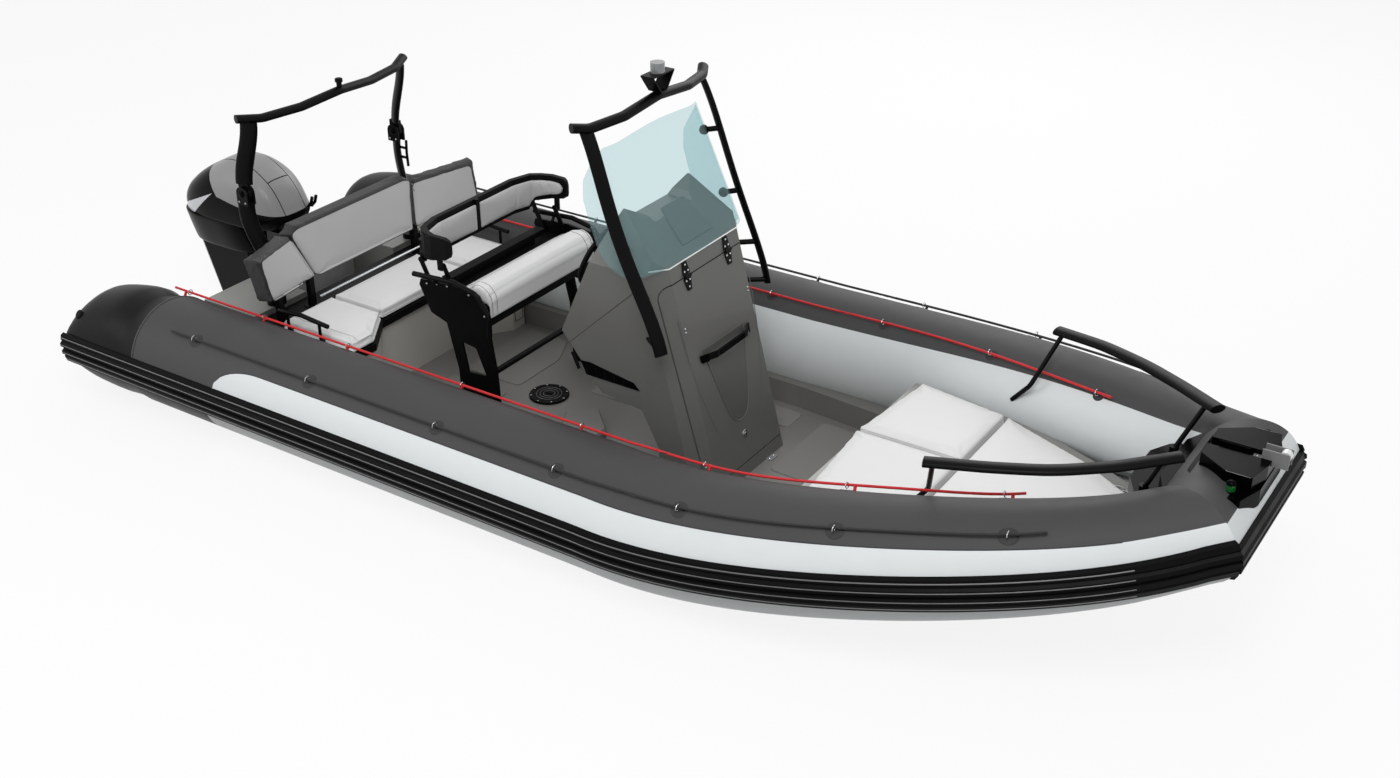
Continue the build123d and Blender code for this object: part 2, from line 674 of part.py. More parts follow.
def make_helm_seat():
    inner = SEAT_HALF - SEAT_PLATE / 2
    outer = SEAT_HALF + SEAT_PLATE / 2
    plate = side_prism(PLATE_OUTLINE, inner, outer) - side_prism(PLATE_WINDOW, inner - 5, outer + 5)
    foot = box(-800, -520, outer, outer + 45, SOLE_Z + FIT, SOLE_Z + 8)
    rail = bent_rod([(-1032, 472, 858), (-780, 472, 874), (-640, 472, 846), (-568, 472, 740),
                     (-572, 472, 640)], 13, 60)
    lugs = rod((-900, outer - 1, 835), (-900, 472, 858), 8) + rod((-578, outer - 1, 700), (-572, 472, 690), 8)
    pivots = Part()
    for x, z in ARM_LOW:
        pivots += rod((x, ARM_Y[0] - 1, z), (x, inner + 1, z), PIVOT_R)
    side = plate + foot + rail + lugs + pivots
    save("port_seat_frame", side)
    save("starboard_seat_frame", mirror(side, about=Plane.XZ))
    pan = box(-1000, -612, -inner + FIT, inner - FIT, 660, 770)
    pan -= box(-1010, -760, -inner, inner, 600, 735)
    pan += box(-942, -886, -370, 370, 797, 827) + box(-930, -898, -300, 300, 760, 800)
    save("seat_pan", pan)
    cushion = [(-822, 770 + FIT), (-818, 788), (-800, 799), (-740, 830), (-700, 856), (-668, 866),
               (-634, 858), (-610, 834), (-599, 800), (-598, 700), (-611, 700), (-611, 770 + FIT)]
    save("helm_cushion", side_prism(cushion, -424, 424))
    save("foot_bar", rod((-588, -inner + FIT, 427), (-588, inner - FIT, 427), 16))


def back_envelope(margin):
    """The backrest's outline from ahead and from the side, less a margin all round."""
    low, corner, high = BACK_Z
    ahead = both_sides([
        (low + margin, 385 - margin * 0.5), (corner + margin, 412 - margin * 0.5), (corner + margin, 520),
        (high - margin, 520)])
    front = make_face(Polyline(*[(-1100, y, z) for z, y in ahead], close=True))
    end = -786 - margin
    side = [(-1080, low - 5), (-985, low - 5), (-960, corner + margin), (end - 29, 980 + margin),
            (end - 8, 994 + margin), (end, 1014 + margin), (end, 1060 - margin), (end - 10, 1080 - margin),
            (end - 34, high - margin), (-1080, high - margin)]
    return extrude(front, 400, dir=(1, 0, 0)) & side_prism(side, -520, 520)


def make_helm_backrest():
    """Wrap-round shell on four swinging arms, with a pad in each half."""
    low, corner, high = BACK_Z
    rim = 22.0
    outer = [(-1045, 0), (-1045, 300), (-1010, 420), (-960, 456), (-900, 478), (-810, 474), (-786, 462)]
    inner = [(-786, 450), (-893, 452), (-944, 432), (-988, 400), (-1019, 290), (-1019, 0)]
    half = plan_prism(outer + inner, low, high) & back_envelope(0)
    half += box(-1020, -1002, 0, rim / 2 - FIT, low + rim, high)
    rear_x = ARM_LOW[0][0] + ARM_SWEEP[0]
    front_x = ARM_LOW[1][0] + ARM_SWEEP[0]
    pivot_z = ARM_LOW[0][1] + ARM_SWEEP[1]
    half += box(rear_x - 14, rear_x + 14, 406, ARM_Y[0] - RUN, pivot_z - 14, corner + 5)
    half += rod((rear_x, ARM_Y[0] - RUN - 1, pivot_z), (rear_x, ARM_Y[1] + 1, pivot_z), PIVOT_R)
    half += box(front_x - 14, front_x + 14, 452, 464, pivot_z - 14, 1000)
    half += rod((front_x, ARM_Y[0] - 1, pivot_z), (front_x, 455, pivot_z), PIVOT_R)
    save("helm_backrest", half + mirror(half, about=Plane.XZ))
    pad_back = [(x + FIT, y - FIT) for x, y in reversed(inner[:-1])]
    pad_front = [(-786, 424), (-886, 430), (-932, 412), (-970, 384), (-998, 284)]
    pad = [(-1019 + FIT, rim / 2)] + pad_back + pad_front + [(-998, rim / 2)]
    pad = plan_prism(pad, low, high) & back_envelope(rim)
    save("helm_back_pads", *port_and_starboard(pad))
    for index, name in enumerate(("rear_seat_arms", "front_seat_arms")):
        x, z = ARM_LOW[index]
        start = Vector(x, ARM_Y[0], z)
        end = start + Vector(ARM_SWEEP[0], 0, ARM_SWEEP[1])
        through = Vector(0, ARM_Y[1] - ARM_Y[0], 0)
        normal = Vector(ARM_SWEEP[1], 0, -ARM_SWEEP[0]).normalized() * 12
        arm = rod(tuple(start), tuple(start + through), 17) + rod(tuple(end), tuple(end + through), 14)
        corners = [start + normal, end + normal, end - normal, start - normal]
        bar = make_face(Polyline(*[tuple(c) for c in corners], close=True))
        arm += extrude(bar, through.Y, dir=(0, 1, 0))
        for centre in (start, end):
            arm -= rod(tuple(centre - through), tuple(centre + through * 2), PIVOT_R + SHAFT)
        save(name, arm, mirror(arm, about=Plane.XZ))


# ---------------------------------------------------------------- aft bench
BENCH_PLAN = [(-1950, 640), (-1285, 640), (-1285, 545), (-1430, 345)]


def make_bench():
    locker = plan_prism(both_sides(BENCH_PLAN), SOLE_Z + FIT, 400)
    save("bench_locker", clear_of_collar(locker))
    base_plan = [(-1950, 690), (-1268, 690), (-1268, 540), (-1413, 338)]
    base = plan_prism(both_sides(base_plan), 400 + FIT, 440)
    save("bench_seat_base", clear_of_collar(base))
    side = plan_prism([(-1770, 334), (-1770, 690), (-1272, 690), (-1272, 542), (-1417, 334)],
                      440 + FIT, BENCH_TOP)
    centre = box(-1770, -1417, -328, 328, 440 + FIT, BENCH_TOP)
    save("bench_cushions", *port_and_starboard(clear_of_collar(side)), centre)


def make_bench_back():
    """Three-part backrest on posts, with a rail at each side of the seat."""
    low_z, high_z, edge_z = 606.0, 890.0, 855.0
    side = side_prism([(-1809, low_z), (-1901, high_z), (-1977, high_z), (-1885, low_z)], -460, 460)
    ahead = both_sides([(low_z, 377), (edge_z, 460), (high_z, 415)])
    ahead = make_face(Polyline(*[(-2100, y, z) for z, y in ahead], close=True))
    centre = side & extrude(ahead, 400, dir=(1, 0, 0))
    # front edges of the port wing, bottom and top: inside the centre, at its corner, at its outer end
    thickness = Vector(-74, 31, 0)
    sections = []
    for low, high in (((-1824, 335, low_z), (-1905, 417, edge_z)), ((-1812, 378, low_z), (-1892, 460, edge_z)),
                      ((-1690, 808, 652), (-1738, 826, 889))):
        corners = [Vector(*low), Vector(*high), Vector(*high) + thickness, Vector(*low) + thickness]
        sections.append(make_face(Polyline(*[tuple(c) for c in corners], close=True)))
    wing = loft(sections, ruled=True)
    save("bench_backrest", centre + wing + mirror(wing, about=Plane.XZ))
    posts = []
    for y in (-620, -400, 400, 620):
        posts.append(box(-1862, -1830, y - 16, y + 16, 440 + FIT, low_z - FIT))
    save("bench_back_posts", *posts)
    rail = bent_rod([(-1760, 706, 560), (-1600, 706, 575), (-1420, 706, 560)], 12, 100)
    for x in (-1700, -1480):
        rail += rod((x, 706, 566), (x, 706, 452), 8)
        rail += box(x - 14, x + 14, 690 + FIT, 704, 406, 470)
    save("bench_rails", *port_and_starboard(clear_of_collar(rail)))


def make_aft_decks():
    deck = box(TRANSOM_X, -1955, 335, 700, SOLE_Z + FIT, 470)
    deck = clear_of_collar(deck - box(TRANSOM_X - 5, TRANSOM_X + 60 + FIT, 0, 331, 0, 600))
    liner_cut = box(-2400, -1900, 654, 900, 0, COAMING_Z + FIT)
    save("aft_decks", *port_and_starboard(deck - liner_cut))
    save("deck_hatch", Pos(-655, 55, SOLE_Z + FIT + 4) * Cylinder(105, 8))


# ---------------------------------------------------------------- arch
ARCH_HINGE = (-2060, 1080)


def make_arch():
    y = 556
    toe = 30.0
    hx, hz = ARCH_HINGE
    foot = (-1975, 520, 490)
    base = blade_leg([foot + (44, 18.5), (-2010, 534, 770, 44, 18.5), (hx - 3, y, hz - 130, 44, 18.5),
                      (hx, y, hz - 46, 44, 18.5)], toe)
    knee = 38.0
    for side in (-27, 17):
        base += rod((hx, y + side, hz), (hx, y + side + 10, hz), knee)
        base += box(hx - knee, hx + knee, y + side, y + side + 10, hz - 60, hz)
    base -= box(hx - 60, hx + 60, y - 17, y + 17, hz - knee - 8, hz + 60)
    base += rod((hx, y - 25, hz), (hx, y + 25, hz), 7)
    base += rod((foot[0] - 5, foot[1], 470 + FIT), (foot[0] - 5, foot[1], 500), 50)
    save("arch_base", base, mirror(base, about=Plane.XZ))
    leg = rod((hx, y - 10, hz), (hx, y + 10, hz), knee)
    leg += box(hx - knee + 4, hx + knee - 4, y - 10, y + 10, hz, hz + 58)
    leg += blade_leg([(hx + 2, y, hz + 50, 44, 18.5), (hx + 5, y, hz + 80, 44, 18.5),
                      (-2006, 550, 1330, 44, 18.5), (-1974, 548, 1474, 44, 18.5)], toe)
    leg -= rod((hx, y - 12, hz), (hx, y + 12, hz), 7 + SHAFT)
    bar = [(-2000, 602, 1494), (-1950, 480, 1474), (-1910, 250, 1474), (-1886, 0, 1496), (-1910, -250, 1474),
           (-1950, -480, 1474), (-2000, -602, 1494)]
    hoop = flat_rod(bar, 26, 19, 120)
    save("arch_hoop", hoop + leg + mirror(leg, about=Plane.XZ))
    light = rod((-1886, 0, 1496 + 19 + FIT), (-1886, 0, 1559), 14)
    save("arch_light", light + rod((-1886, 0, 1540), (-1886, 0, 1556), 20))


# ---------------------------------------------------------------- outboard
# plans of the leg and of the apron under the cowl: height, front x, aft x, half-width, corner
LEG_ROWS = [(-208, -2590, -2850, 34, 26), (60, -2590, -2990, 62, 44), (440, -2590, -3090, 100, 70)]
APRON_ROWS = [(440.3, -2590, -3105, 130, 80), (639.7, -2585, -3110, 190, 100)]
COWL_PLAN = [(-2317, 115), (-2420, 165), (-2520, 195), (-2860, 200), (-3005, 165), (-3108, 85)]
COWL_SIDE = [(-2350, 640), (-2317, 696), (-2424, 841), (-2541, 907), (-2670, 982), (-2728, 950),
             (-2860, 880), (-2985, 786), (-3080, 698), (-3112, 640)]
# a point on the facet between the top of the cowl and its port side, and the facet's direction
COWL_FACET = ((-2670, 104, 982), (0.2206, 0.926, 0.308))


def cowl_shell(rows):
    """A casing lofted through plans with cut corners."""
    faces = []
    for z, fore, aft, half, corner in rows:
        plan = both_sides([(fore, half - corner * 0.6), (fore - corner, half), (aft + corner, half),
                           (aft, half - corner * 0.6)])
        faces.append(make_face(Polyline(*[(x, y, z) for x, y in plan], close=True)))
    return loft(faces, ruled=True)


def engine_cowl_solid():
    """Cowl with a sloping faceted top."""
    cowl = side_prism(COWL_SIDE, -220, 220) & plan_prism(both_sides(COWL_PLAN), 600, 1100)
    (x, y, z), (nx, ny, nz) = COWL_FACET
    for sign in (1, -1):
        facet = Plane(origin=(x, sign * y, z), z_dir=(nx, sign * ny, nz))
        cowl = split(cowl, bisect_by=facet, keep=Keep.BOTTOM)
    return cowl


def make_outboard():
    cheek = box(TRANSOM_X - 90, TRANSOM_X - FIT, 96, 122, 300, 590)
    lip = box(TRANSOM_X - 30, TRANSOM_X + 60 + 25, 96, 122, 470 + FIT, 525)
    hook = box(TRANSOM_X + 60 + FIT, TRANSOM_X + 85, 96, 122, 380, 500)
    side = cheek + lip + hook
    tube = rod((TILT_X, -122, TILT_Z), (TILT_X, 122, TILT_Z), 17)
    save("transom_bracket", side + mirror(side, about=Plane.XZ) + tube)
    swivel = rod((TILT_X, -90, TILT_Z), (TILT_X, 90, TILT_Z), 34)
    swivel += box(STEER_X, TILT_X, -60, 60, TILT_Z - 30, TILT_Z + 30)
    swivel += rod((STEER_X, 0, 150), (STEER_X, 0, TILT_Z + 30), 44)
    swivel -= rod((TILT_X, -95, TILT_Z), (TILT_X, 95, TILT_Z), 17 + SHAFT)
    swivel -= rod((STEER_X, 0, 100), (STEER_X, 0, 700), 20 + SHAFT)
    save("swivel_bracket", swivel)
    leg_x = STEER_X - 175
    pin = rod((STEER_X, 0, 120), (STEER_X, 0, TILT_Z + 60), 20)
    low_yoke = box(leg_x, STEER_X + 30, -50, 50, 100, 144)
    high_yoke = box(APRON_ROWS[1][1] + 1, STEER_X + 30, -60, 60, TILT_Z + 36, TILT_Z + 70)
    mid = cowl_shell(LEG_ROWS)
    plate = loft([Plane.XY.offset(-212) * Pos(leg_x - 70, 0) * Ellipse(260, 110),
                  Plane.XY.offset(-202) * Pos(leg_x - 70, 0) * Ellipse(255, 105)])
    blade = loft([Plane.XY.offset(-620) * Pos(leg_x + 30, 0) * Ellipse(60, 6),
                  Plane.XY.offset(-205) * Pos(leg_x - 5, 0) * Ellipse(125, 26)])
    torpedo = loft([Plane.YZ.offset(x) * Pos(0, PROP_Z) * Circle(r) for x, r in
                    ((leg_x + 190, 8), (leg_x + 160, 32), (leg_x + 90, 50), (leg_x - 60, 52), (PROP_X + 8, 44))])
    shaft = rod((PROP_X - 100, 0, PROP_Z), (PROP_X + 20, 0, PROP_Z), 12)
    leg = mid + plate + blade + torpedo + low_yoke + high_yoke + pin + shaft
    save("outboard_leg", leg)
    save("lower_cowl", cowl_shell(APRON_ROWS))
    save("engine_cowl", engine_cowl_solid())
    hub = rod((PROP_X - 110, 0, PROP_Z), (PROP_X, 0, PROP_Z), 44)
    for index in range(3):
        blade_plane = Plane.YZ.offset(PROP_X - 60)
        face = blade_plane * (Pos(0, PROP_Z) * (Rot(0, 0, 120 * index) * (Pos(0, 100) * Ellipse(50, 66))))
        hub += extrude(face, 8)
    hub -= rod((PROP_X - 101, 0, PROP_Z), (PROP_X + 20, 0, PROP_Z), 12 + SHAFT)
    save("propeller", hub)


EYE_R = 12.0


def make_eyes():
    """Towing eye on the stem and two lifting eyes on the transom."""
    x, z = 2700.0, 240.0
    bow = rod((x, -6, z), (x, 6, z), 26) + box(x - 60, x, -6, 6, z - 20, z + 26)
    bow -= rod((x, -10, z), (x, 10, z), EYE_R)
    hull = loft([hull_section(*row) for row in HULL_SECTIONS], ruled=True)
    save("bow_eye", bow - hull)
    eyes = []
    eye_x = TRANSOM_X - 34
    for y in (-420, 420):
        eye = rod((eye_x, y, 154), (eye_x, y, 166), 26)
        eye += box(eye_x, TRANSOM_X - FIT, y - 20, y + 20, 154, 166)
        eye += box(TRANSOM_X - 8, TRANSOM_X - FIT, y - 25, y + 25, 110, 210)
        eyes.append(eye - rod((eye_x, y, 140), (eye_x, y, 180), EYE_R))
    save("stern_eyes", *eyes)


# ---------------------------------------------------------------- build
make_collar()
make_lines()
make_hull()
make_liner()
make_bow()
make_bow_fittings()
make_bow_rails()
make_console()
make_windscreen()
make_helm_controls()
make_helm_seat()
make_helm_backrest()
make_bench()
make_bench_back()
make_aft_decks()
make_arch()
make_outboard()
make_eyes()
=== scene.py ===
import bpy
import bmesh
import math
from mathutils import Matrix, Vector
from mathutils.bvhtree import BVHTree
from mathutils.kdtree import KDTree


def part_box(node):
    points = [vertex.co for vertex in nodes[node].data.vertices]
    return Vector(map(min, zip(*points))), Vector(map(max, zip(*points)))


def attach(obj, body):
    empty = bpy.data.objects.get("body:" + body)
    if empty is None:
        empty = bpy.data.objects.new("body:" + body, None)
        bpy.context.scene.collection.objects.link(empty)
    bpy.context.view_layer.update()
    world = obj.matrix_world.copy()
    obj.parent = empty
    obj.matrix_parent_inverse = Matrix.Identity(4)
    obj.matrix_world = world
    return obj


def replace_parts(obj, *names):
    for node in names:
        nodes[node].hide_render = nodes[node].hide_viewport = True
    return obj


# Rigid inflatable boat: finishes, soft goods and small fittings on the CAD frame. Metres, in the frame.
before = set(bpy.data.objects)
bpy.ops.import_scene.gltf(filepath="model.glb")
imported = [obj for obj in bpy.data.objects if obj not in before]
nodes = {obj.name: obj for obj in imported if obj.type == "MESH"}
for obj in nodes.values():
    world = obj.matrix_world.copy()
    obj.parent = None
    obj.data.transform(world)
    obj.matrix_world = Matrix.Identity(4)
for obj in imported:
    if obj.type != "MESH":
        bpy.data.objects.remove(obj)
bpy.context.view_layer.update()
SIDES = (1, -1)
UP = Vector((0, 0, 1))
AHEAD = Vector((1, 0, 0))


# ---------------------------------------------------------------- materials
def linear(level):
    """Linear value of an sRGB level from 0 to 255."""
    c = level / 255
    return c / 12.92 if c <= 0.04045 else ((c + 0.055) / 1.055) ** 2.4


def colour(r, g, b):
    return (linear(r), linear(g), linear(b), 1.0)


def feed(tree, node, inputs):
    """Set a shader node's inputs, each to a value or to the socket that feeds it."""
    for key, value in inputs.items():
        if isinstance(value, bpy.types.NodeSocket):
            tree.links.new(value, node.inputs[key])
        else:
            node.inputs[key].default_value = value


def add(tree, kind, inputs, outlet=0, **settings):
    """The outlet of a new shader node."""
    node = tree.nodes.new("ShaderNode" + kind)
    for key, value in settings.items():
        setattr(node, key, value)
    feed(tree, node, inputs)
    return node.outputs[outlet]


def raise_bumps(tree, height, strength, depth):
    bump = add(tree, "Bump", {"Strength": strength, "Distance": depth, "Height": height}, "Normal")
    feed(tree, tree.nodes["Principled BSDF"], {"Normal": bump})


def material(name, rgb, rough=0.45, metal=0.0, coat=0.0, spec=0.5, sheen=0.0, grain=0.0, grain_size=400.0,
             weave=0.0, weave_size=900.0, vary=0.06, vary_size=9.0, rough_vary=0.08):
    """A finish with a slow change of shade, a change of gloss, and grain or weave in its bump."""
    mat = bpy.data.materials.new(name)
    mat.use_nodes = True
    tree = mat.node_tree
    place = add(tree, "TexCoord", {}, "Object")
    slow = add(tree, "TexNoise", {"Scale": vary_size, "Detail": 3.0, "Vector": place}, "Fac")
    base = colour(*rgb)[:3]
    dark, light = [tuple(min(1.0, c * (1 + way * vary)) for c in base) + (1,) for way in (-1, 1)]
    shader = {
        "Metallic": metal, "Coat Weight": coat, "Coat Roughness": 0.08, "Sheen Weight": sheen,
        "Specular IOR Level": spec,
        "Base Color": add(tree, "Mix", {"A": dark, "B": light, "Factor": slow}, "Result", data_type="RGBA"),
        "Roughness": add(tree, "MapRange", {"To Min": max(0.03, rough - rough_vary),
                                            "To Max": min(1.0, rough + rough_vary), "Value": slow}, "Result"),
    }
    feed(tree, tree.nodes["Principled BSDF"], shader)
    if weave:
        threads = [add(tree, "TexWave", {"Scale": weave_size, "Vector": place}, "Fac", bands_direction=axis)
                   for axis in "XY"]
        height = add(tree, "Math", {0: threads[0], 1: threads[1]}, operation="MULTIPLY")
    elif grain:
        height = add(tree, "TexNoise", {"Scale": grain_size, "Detail": 4.0, "Vector": place}, "Fac")
    if grain or weave:
        raise_bumps(tree, height, max(grain, weave), 0.0006)
    return mat


def clear_material(name, rgb, share):
    """Tinted clear sheet: part of the light passes straight through, the rest shows the tint."""
    mat = material(name, rgb, rough=0.08, vary=0.02, rough_vary=0.02)
    tree = mat.node_tree
    through = add(tree, "BsdfTransparent", {"Color": colour(236, 245, 246)})
    mix = add(tree, "MixShader", {0: share, 1: through, 2: tree.nodes["Principled BSDF"].outputs[0]})
    feed(tree, tree.nodes["Material Output"], {"Surface": mix})
    return mat


def rope_material(name, rgb):
    """Braided rope: diagonal bands."""
    mat = material(name, rgb, rough=0.6, vary=0.12, vary_size=60)
    tree = mat.node_tree
    place = add(tree, "TexCoord", {}, "Object")
    wave = add(tree, "TexWave", {"Scale": 90, "Vector": place}, "Fac", bands_direction="DIAGONAL")
    raise_bumps(tree, wave, 0.7, 0.0015)
    return mat


TUBE_DARK = material("tube_dark", (72, 72, 73), rough=0.5, spec=0.12, grain=0.18, grain_size=700, vary=0.04)
TUBE_BLACK = material("tube_black", (12, 12, 13), rough=0.4, spec=0.12, grain=0.12, grain_size=700)
TUBE_LIGHT = material("tube_light", (212, 216, 217), rough=0.42, grain=0.12, grain_size=700, vary=0.02)
# light fabric of the tube's underside, darkened as painted shade
TUBE_LIGHT_PAINTED_SHADE = material("tube_light_painted_shade", (150, 152, 153), grain=0.12, grain_size=700, vary=0.02)
TUBE_PATCH = material("tube_patch", (58, 58, 59), rough=0.55, spec=0.15, grain=0.2, grain_size=600)
RUBBER = material("rubber", (9, 9, 9), rough=0.42, spec=0.06, grain=0.3, grain_size=500)
# grey of the strake's crests: a painted highlight on black rubber
RUBBER_RIDGE_HIGHLIGHT = material("rubber_ridge_highlight", (92, 92, 92), rough=0.4, grain=0.15)
ROPE_RED = rope_material("rope_red", (206, 30, 36))
ROPE_BLACK = rope_material("rope_black", (14, 14, 14))
GELCOAT_WHITE = material("gelcoat_white", (196, 198, 198), rough=0.25, coat=0.3, vary=0.02)
GELCOAT_GREY = material("gelcoat_grey", (138, 138, 135), rough=0.4, coat=0.2, vary=0.03)
SOLE_GREY = material("sole_grey", (112, 111, 108), rough=0.5, grain=0.2, grain_size=300, vary=0.04)
NON_SLIP = material("non_slip", (122, 121, 118), rough=0.75, grain=0.9, grain_size=260, vary=0.05)
LOCKER_BEIGE = material("locker_beige", (184, 182, 176), rough=0.35, coat=0.2, vary=0.03)
CONSOLE_GREY = material("console_grey", (95, 95, 92), rough=0.34, spec=0.3, coat=0.15, vary=0.03)
CONSOLE_SEAM = material("console_seam", (58, 57, 55), rough=0.4)
CONSOLE_DEEP = material("console_deep", (84, 84, 81), rough=0.34, spec=0.3, coat=0.2, vary=0.04)
BLACK_GLOSS = material("black_gloss", (4, 4, 5), rough=0.2, spec=0.03, vary=0.1)
BLACK_PAINT = material("black_paint", (7, 7, 8), rough=0.36, spec=0.08, grain=0.06, vary=0.1)
BLACK_PLASTIC = material("black_plastic", (10, 10, 10), rough=0.5, spec=0.08, grain=0.4, grain_size=900)
GREY_PLASTIC = material("grey_plastic", (112, 112, 112), rough=0.4, grain=0.2)
STEEL = material("steel", (190, 192, 194), rough=0.22, metal=1.0, grain=0.04, grain_size=1500)
STEEL_DULL = material("steel_dull", (150, 152, 154), rough=0.38, metal=1.0, grain=0.1)
VINYL_WHITE = material("vinyl_white", (221, 222, 221), rough=0.5, weave=0.25, weave_size=700, vary=0.015,
                       sheen=0.1)
VINYL_GREY = material("vinyl_grey", (180, 181, 180), rough=0.55, weave=0.35, weave_size=600, vary=0.03,
                      sheen=0.1)
VINYL_DARK = material("vinyl_dark", (46, 46, 47), rough=0.5, spec=0.3, weave=0.35, weave_size=600)
THREAD = material("thread", (96, 97, 98), rough=0.7, grain=0.3)
PIPING = material("piping", (186, 187, 187), rough=0.55, grain=0.2)
LAMP_WHITE = material("lamp_white", (226, 228, 228), rough=0.2, coat=0.4, vary=0.02)
LAMP_CLEAR = material("lamp_clear", (120, 122, 123), rough=0.12, coat=0.6, vary=0.15, vary_size=40)
LAMP_GREEN = material("lamp_green", (8, 90, 30), rough=0.12, coat=0.6)
LAMP_RED = material("lamp_red", (150, 18, 20), rough=0.12, coat=0.6)
COWL_BLACK = material("cowl_black", (9, 9, 10), rough=0.25, spec=0.06, vary=0.1)
COWL_GREY = material("cowl_grey", (140, 140, 141), rough=0.34, spec=0.3, coat=0.1, vary=0.04)
COWL_LIGHT = material("cowl_light", (196, 197, 202), rough=0.3, coat=0.2, vary=0.06)
MOTOR_GREY = material("motor_grey", (24, 24, 25), rough=0.4, spec=0.3, grain=0.2)
SCREEN = clear_material("clear_screen", (186, 216, 220), 0.10)

FINISH = (
    (TUBE_LIGHT, "bow_tube"), (RUBBER, "port_strake starboard_strake bow_strake"),
    (ROPE_RED, "inner_grab_lines"), (ROPE_BLACK, "outer_grab_lines"), (GELCOAT_WHITE, "hull"),
    (SOLE_GREY, "cockpit_liner"), (GELCOAT_GREY, "bow_locker aft_decks"),
    (BLACK_GLOSS, "bow_step bow_cleat throttle"), (GREY_PLASTIC, "anchor_roller_frame"),
    (LAMP_WHITE, "anchor_roller"), (LAMP_RED, "port_nav_light"), (LAMP_GREEN, "starboard_nav_light"),
    (BLACK_PAINT, "bow_rails windscreen_frame lamp_bracket port_seat_frame starboard_seat_frame foot_bar "
                  "front_seat_arms rear_seat_arms bench_back_posts bench_rails arch_base arch_hoop"),
    (CONSOLE_GREY, "console_body console_door"), (SCREEN, "windscreen"), (LAMP_CLEAR, "masthead_light"),
    (BLACK_PLASTIC, "console_hinges door_hinges door_handle steering_hub steering_wheel seat_pan "
                    "helm_backrest bench_seat_base deck_hatch arch_light"),
    (LOCKER_BEIGE, "bench_locker"), (MOTOR_GREY, "transom_bracket swivel_bracket"),
    (COWL_BLACK, "outboard_leg lower_cowl engine_cowl"), (STEEL_DULL, "propeller"),
    (STEEL, "bow_eye stern_eyes"),
)
# edge rounding of the rigid nodes: width of the bevel
ROUNDED = (
    (0.002, "lamp_bracket"), (0.003, "port_seat_frame starboard_seat_frame bench_back_posts throttle"),
    (0.004, "console_door transom_bracket swivel_bracket"), (0.005, "seat_pan"),
    (0.006, "console_body bow_step cockpit_liner hull"), (0.008, "helm_backrest bench_seat_base"),
    (0.010, "bow_locker"), (0.012, "aft_decks engine_cowl lower_cowl"), (0.014, "bench_locker"),
)


def shade(obj, angle=35):
    """Smooth shading with creases."""
    for poly in obj.data.polygons:
        poly.use_smooth = True
    obj.data.set_sharp_from_angle(angle=math.radians(angle))


for mat, names in FINISH:
    for name in names.split():
        nodes[name].data.materials.clear()
        nodes[name].data.materials.append(mat)
        shade(nodes[name])
for width, names in ROUNDED:
    for name in names.split():
        bevel = nodes[name].modifiers.new("round", "BEVEL")
        bevel.width = width
        bevel.segments = 3
        bevel.limit_method = "ANGLE"
        bevel.angle_limit = math.radians(32)
        bevel.harden_normals = True


# ---------------------------------------------------------------- mesh helpers
def make(name, verts, faces, mats, body="boat", smooth=35, index=None):
    """A mesh object that rides on a body."""
    mesh = bpy.data.meshes.new(name)
    mesh.from_pydata([tuple(v) for v in verts], [], faces)
    for m in (mats if isinstance(mats, list) else [mats]):
        mesh.materials.append(m)
    if index:
        for poly, i in zip(mesh.polygons, index):
            poly.material_index = i
    mesh.validate()
    obj = bpy.data.objects.new(name, mesh)
    bpy.context.collection.objects.link(obj)
    if smooth:
        shade(obj, smooth)
    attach(obj, body)
    return obj


def circle(count):
    """Angles spaced evenly round a circle."""
    return [2 * math.pi * k / count for k in range(count)]


def flip(p, side=-1):
    """A point or direction on the port side (1), or mirrored to starboard (-1)."""
    return Vector((p[0], p[1] * side, p[2]))


def skin(rows, around=True, along=False, ends=False):
    """A surface through rows of points, each row a ring where around, the rows a loop where along."""
    count, wide = len(rows), len(rows[0])
    faces = []
    for i in range(count if along else count - 1):
        for j in range(wide if around else wide - 1):
            a, b, k = i * wide, (i + 1) % count * wide, (j + 1) % wide
            faces.append((a + j, a + k, b + k, b + j))
    if ends:
        faces += [tuple(range(wide))[::-1], tuple(range((count - 1) * wide, count * wide))]
    return [point for row in rows for point in row], faces


def fan(centre, rings):
    """A surface from a centre out through rings of points."""
    verts, faces = skin(rings)
    count = len(rings[0])
    spokes = [(0, 1 + k, 1 + (k + 1) % count) for k in range(count)]
    return [centre] + verts, spokes + [tuple(i + 1 for i in face[::-1]) for face in faces]


def tube_mesh(points, radius, sides=10, closed=False):
    """Vertices and faces of a round cord along points."""
    points = [Vector(p) for p in points]
    last = len(points) - 1
    side = None
    rows = []
    for i, p in enumerate(points):
        if closed:
            along = (points[(i + 1) % len(points)] - points[i - 1]).normalized()
        else:
            along = (points[min(i + 1, last)] - points[max(i - 1, 0)]).normalized()
        if side is None:
            side = along.orthogonal().normalized()
        side = (side - along * side.dot(along)).normalized()
        other = along.cross(side)
        rows.append([p + side * (radius * math.cos(a)) + other * (radius * math.sin(a))
                     for a in circle(sides)])
    return skin(rows, along=closed, ends=not closed)


def join(parts):
    """Several (verts, faces) as one."""
    verts, faces = [], []
    for v, f in parts:
        base = len(verts)
        verts += list(v)
        faces += [tuple(i + base for i in face) for face in f]
    return verts, faces


def cords(name, runs, radius, mat, body="boat", **kw):
    """One object made of several round runs."""
    return make(name, *join([tube_mesh(run, radius, **kw) for run in runs]), mat, body)


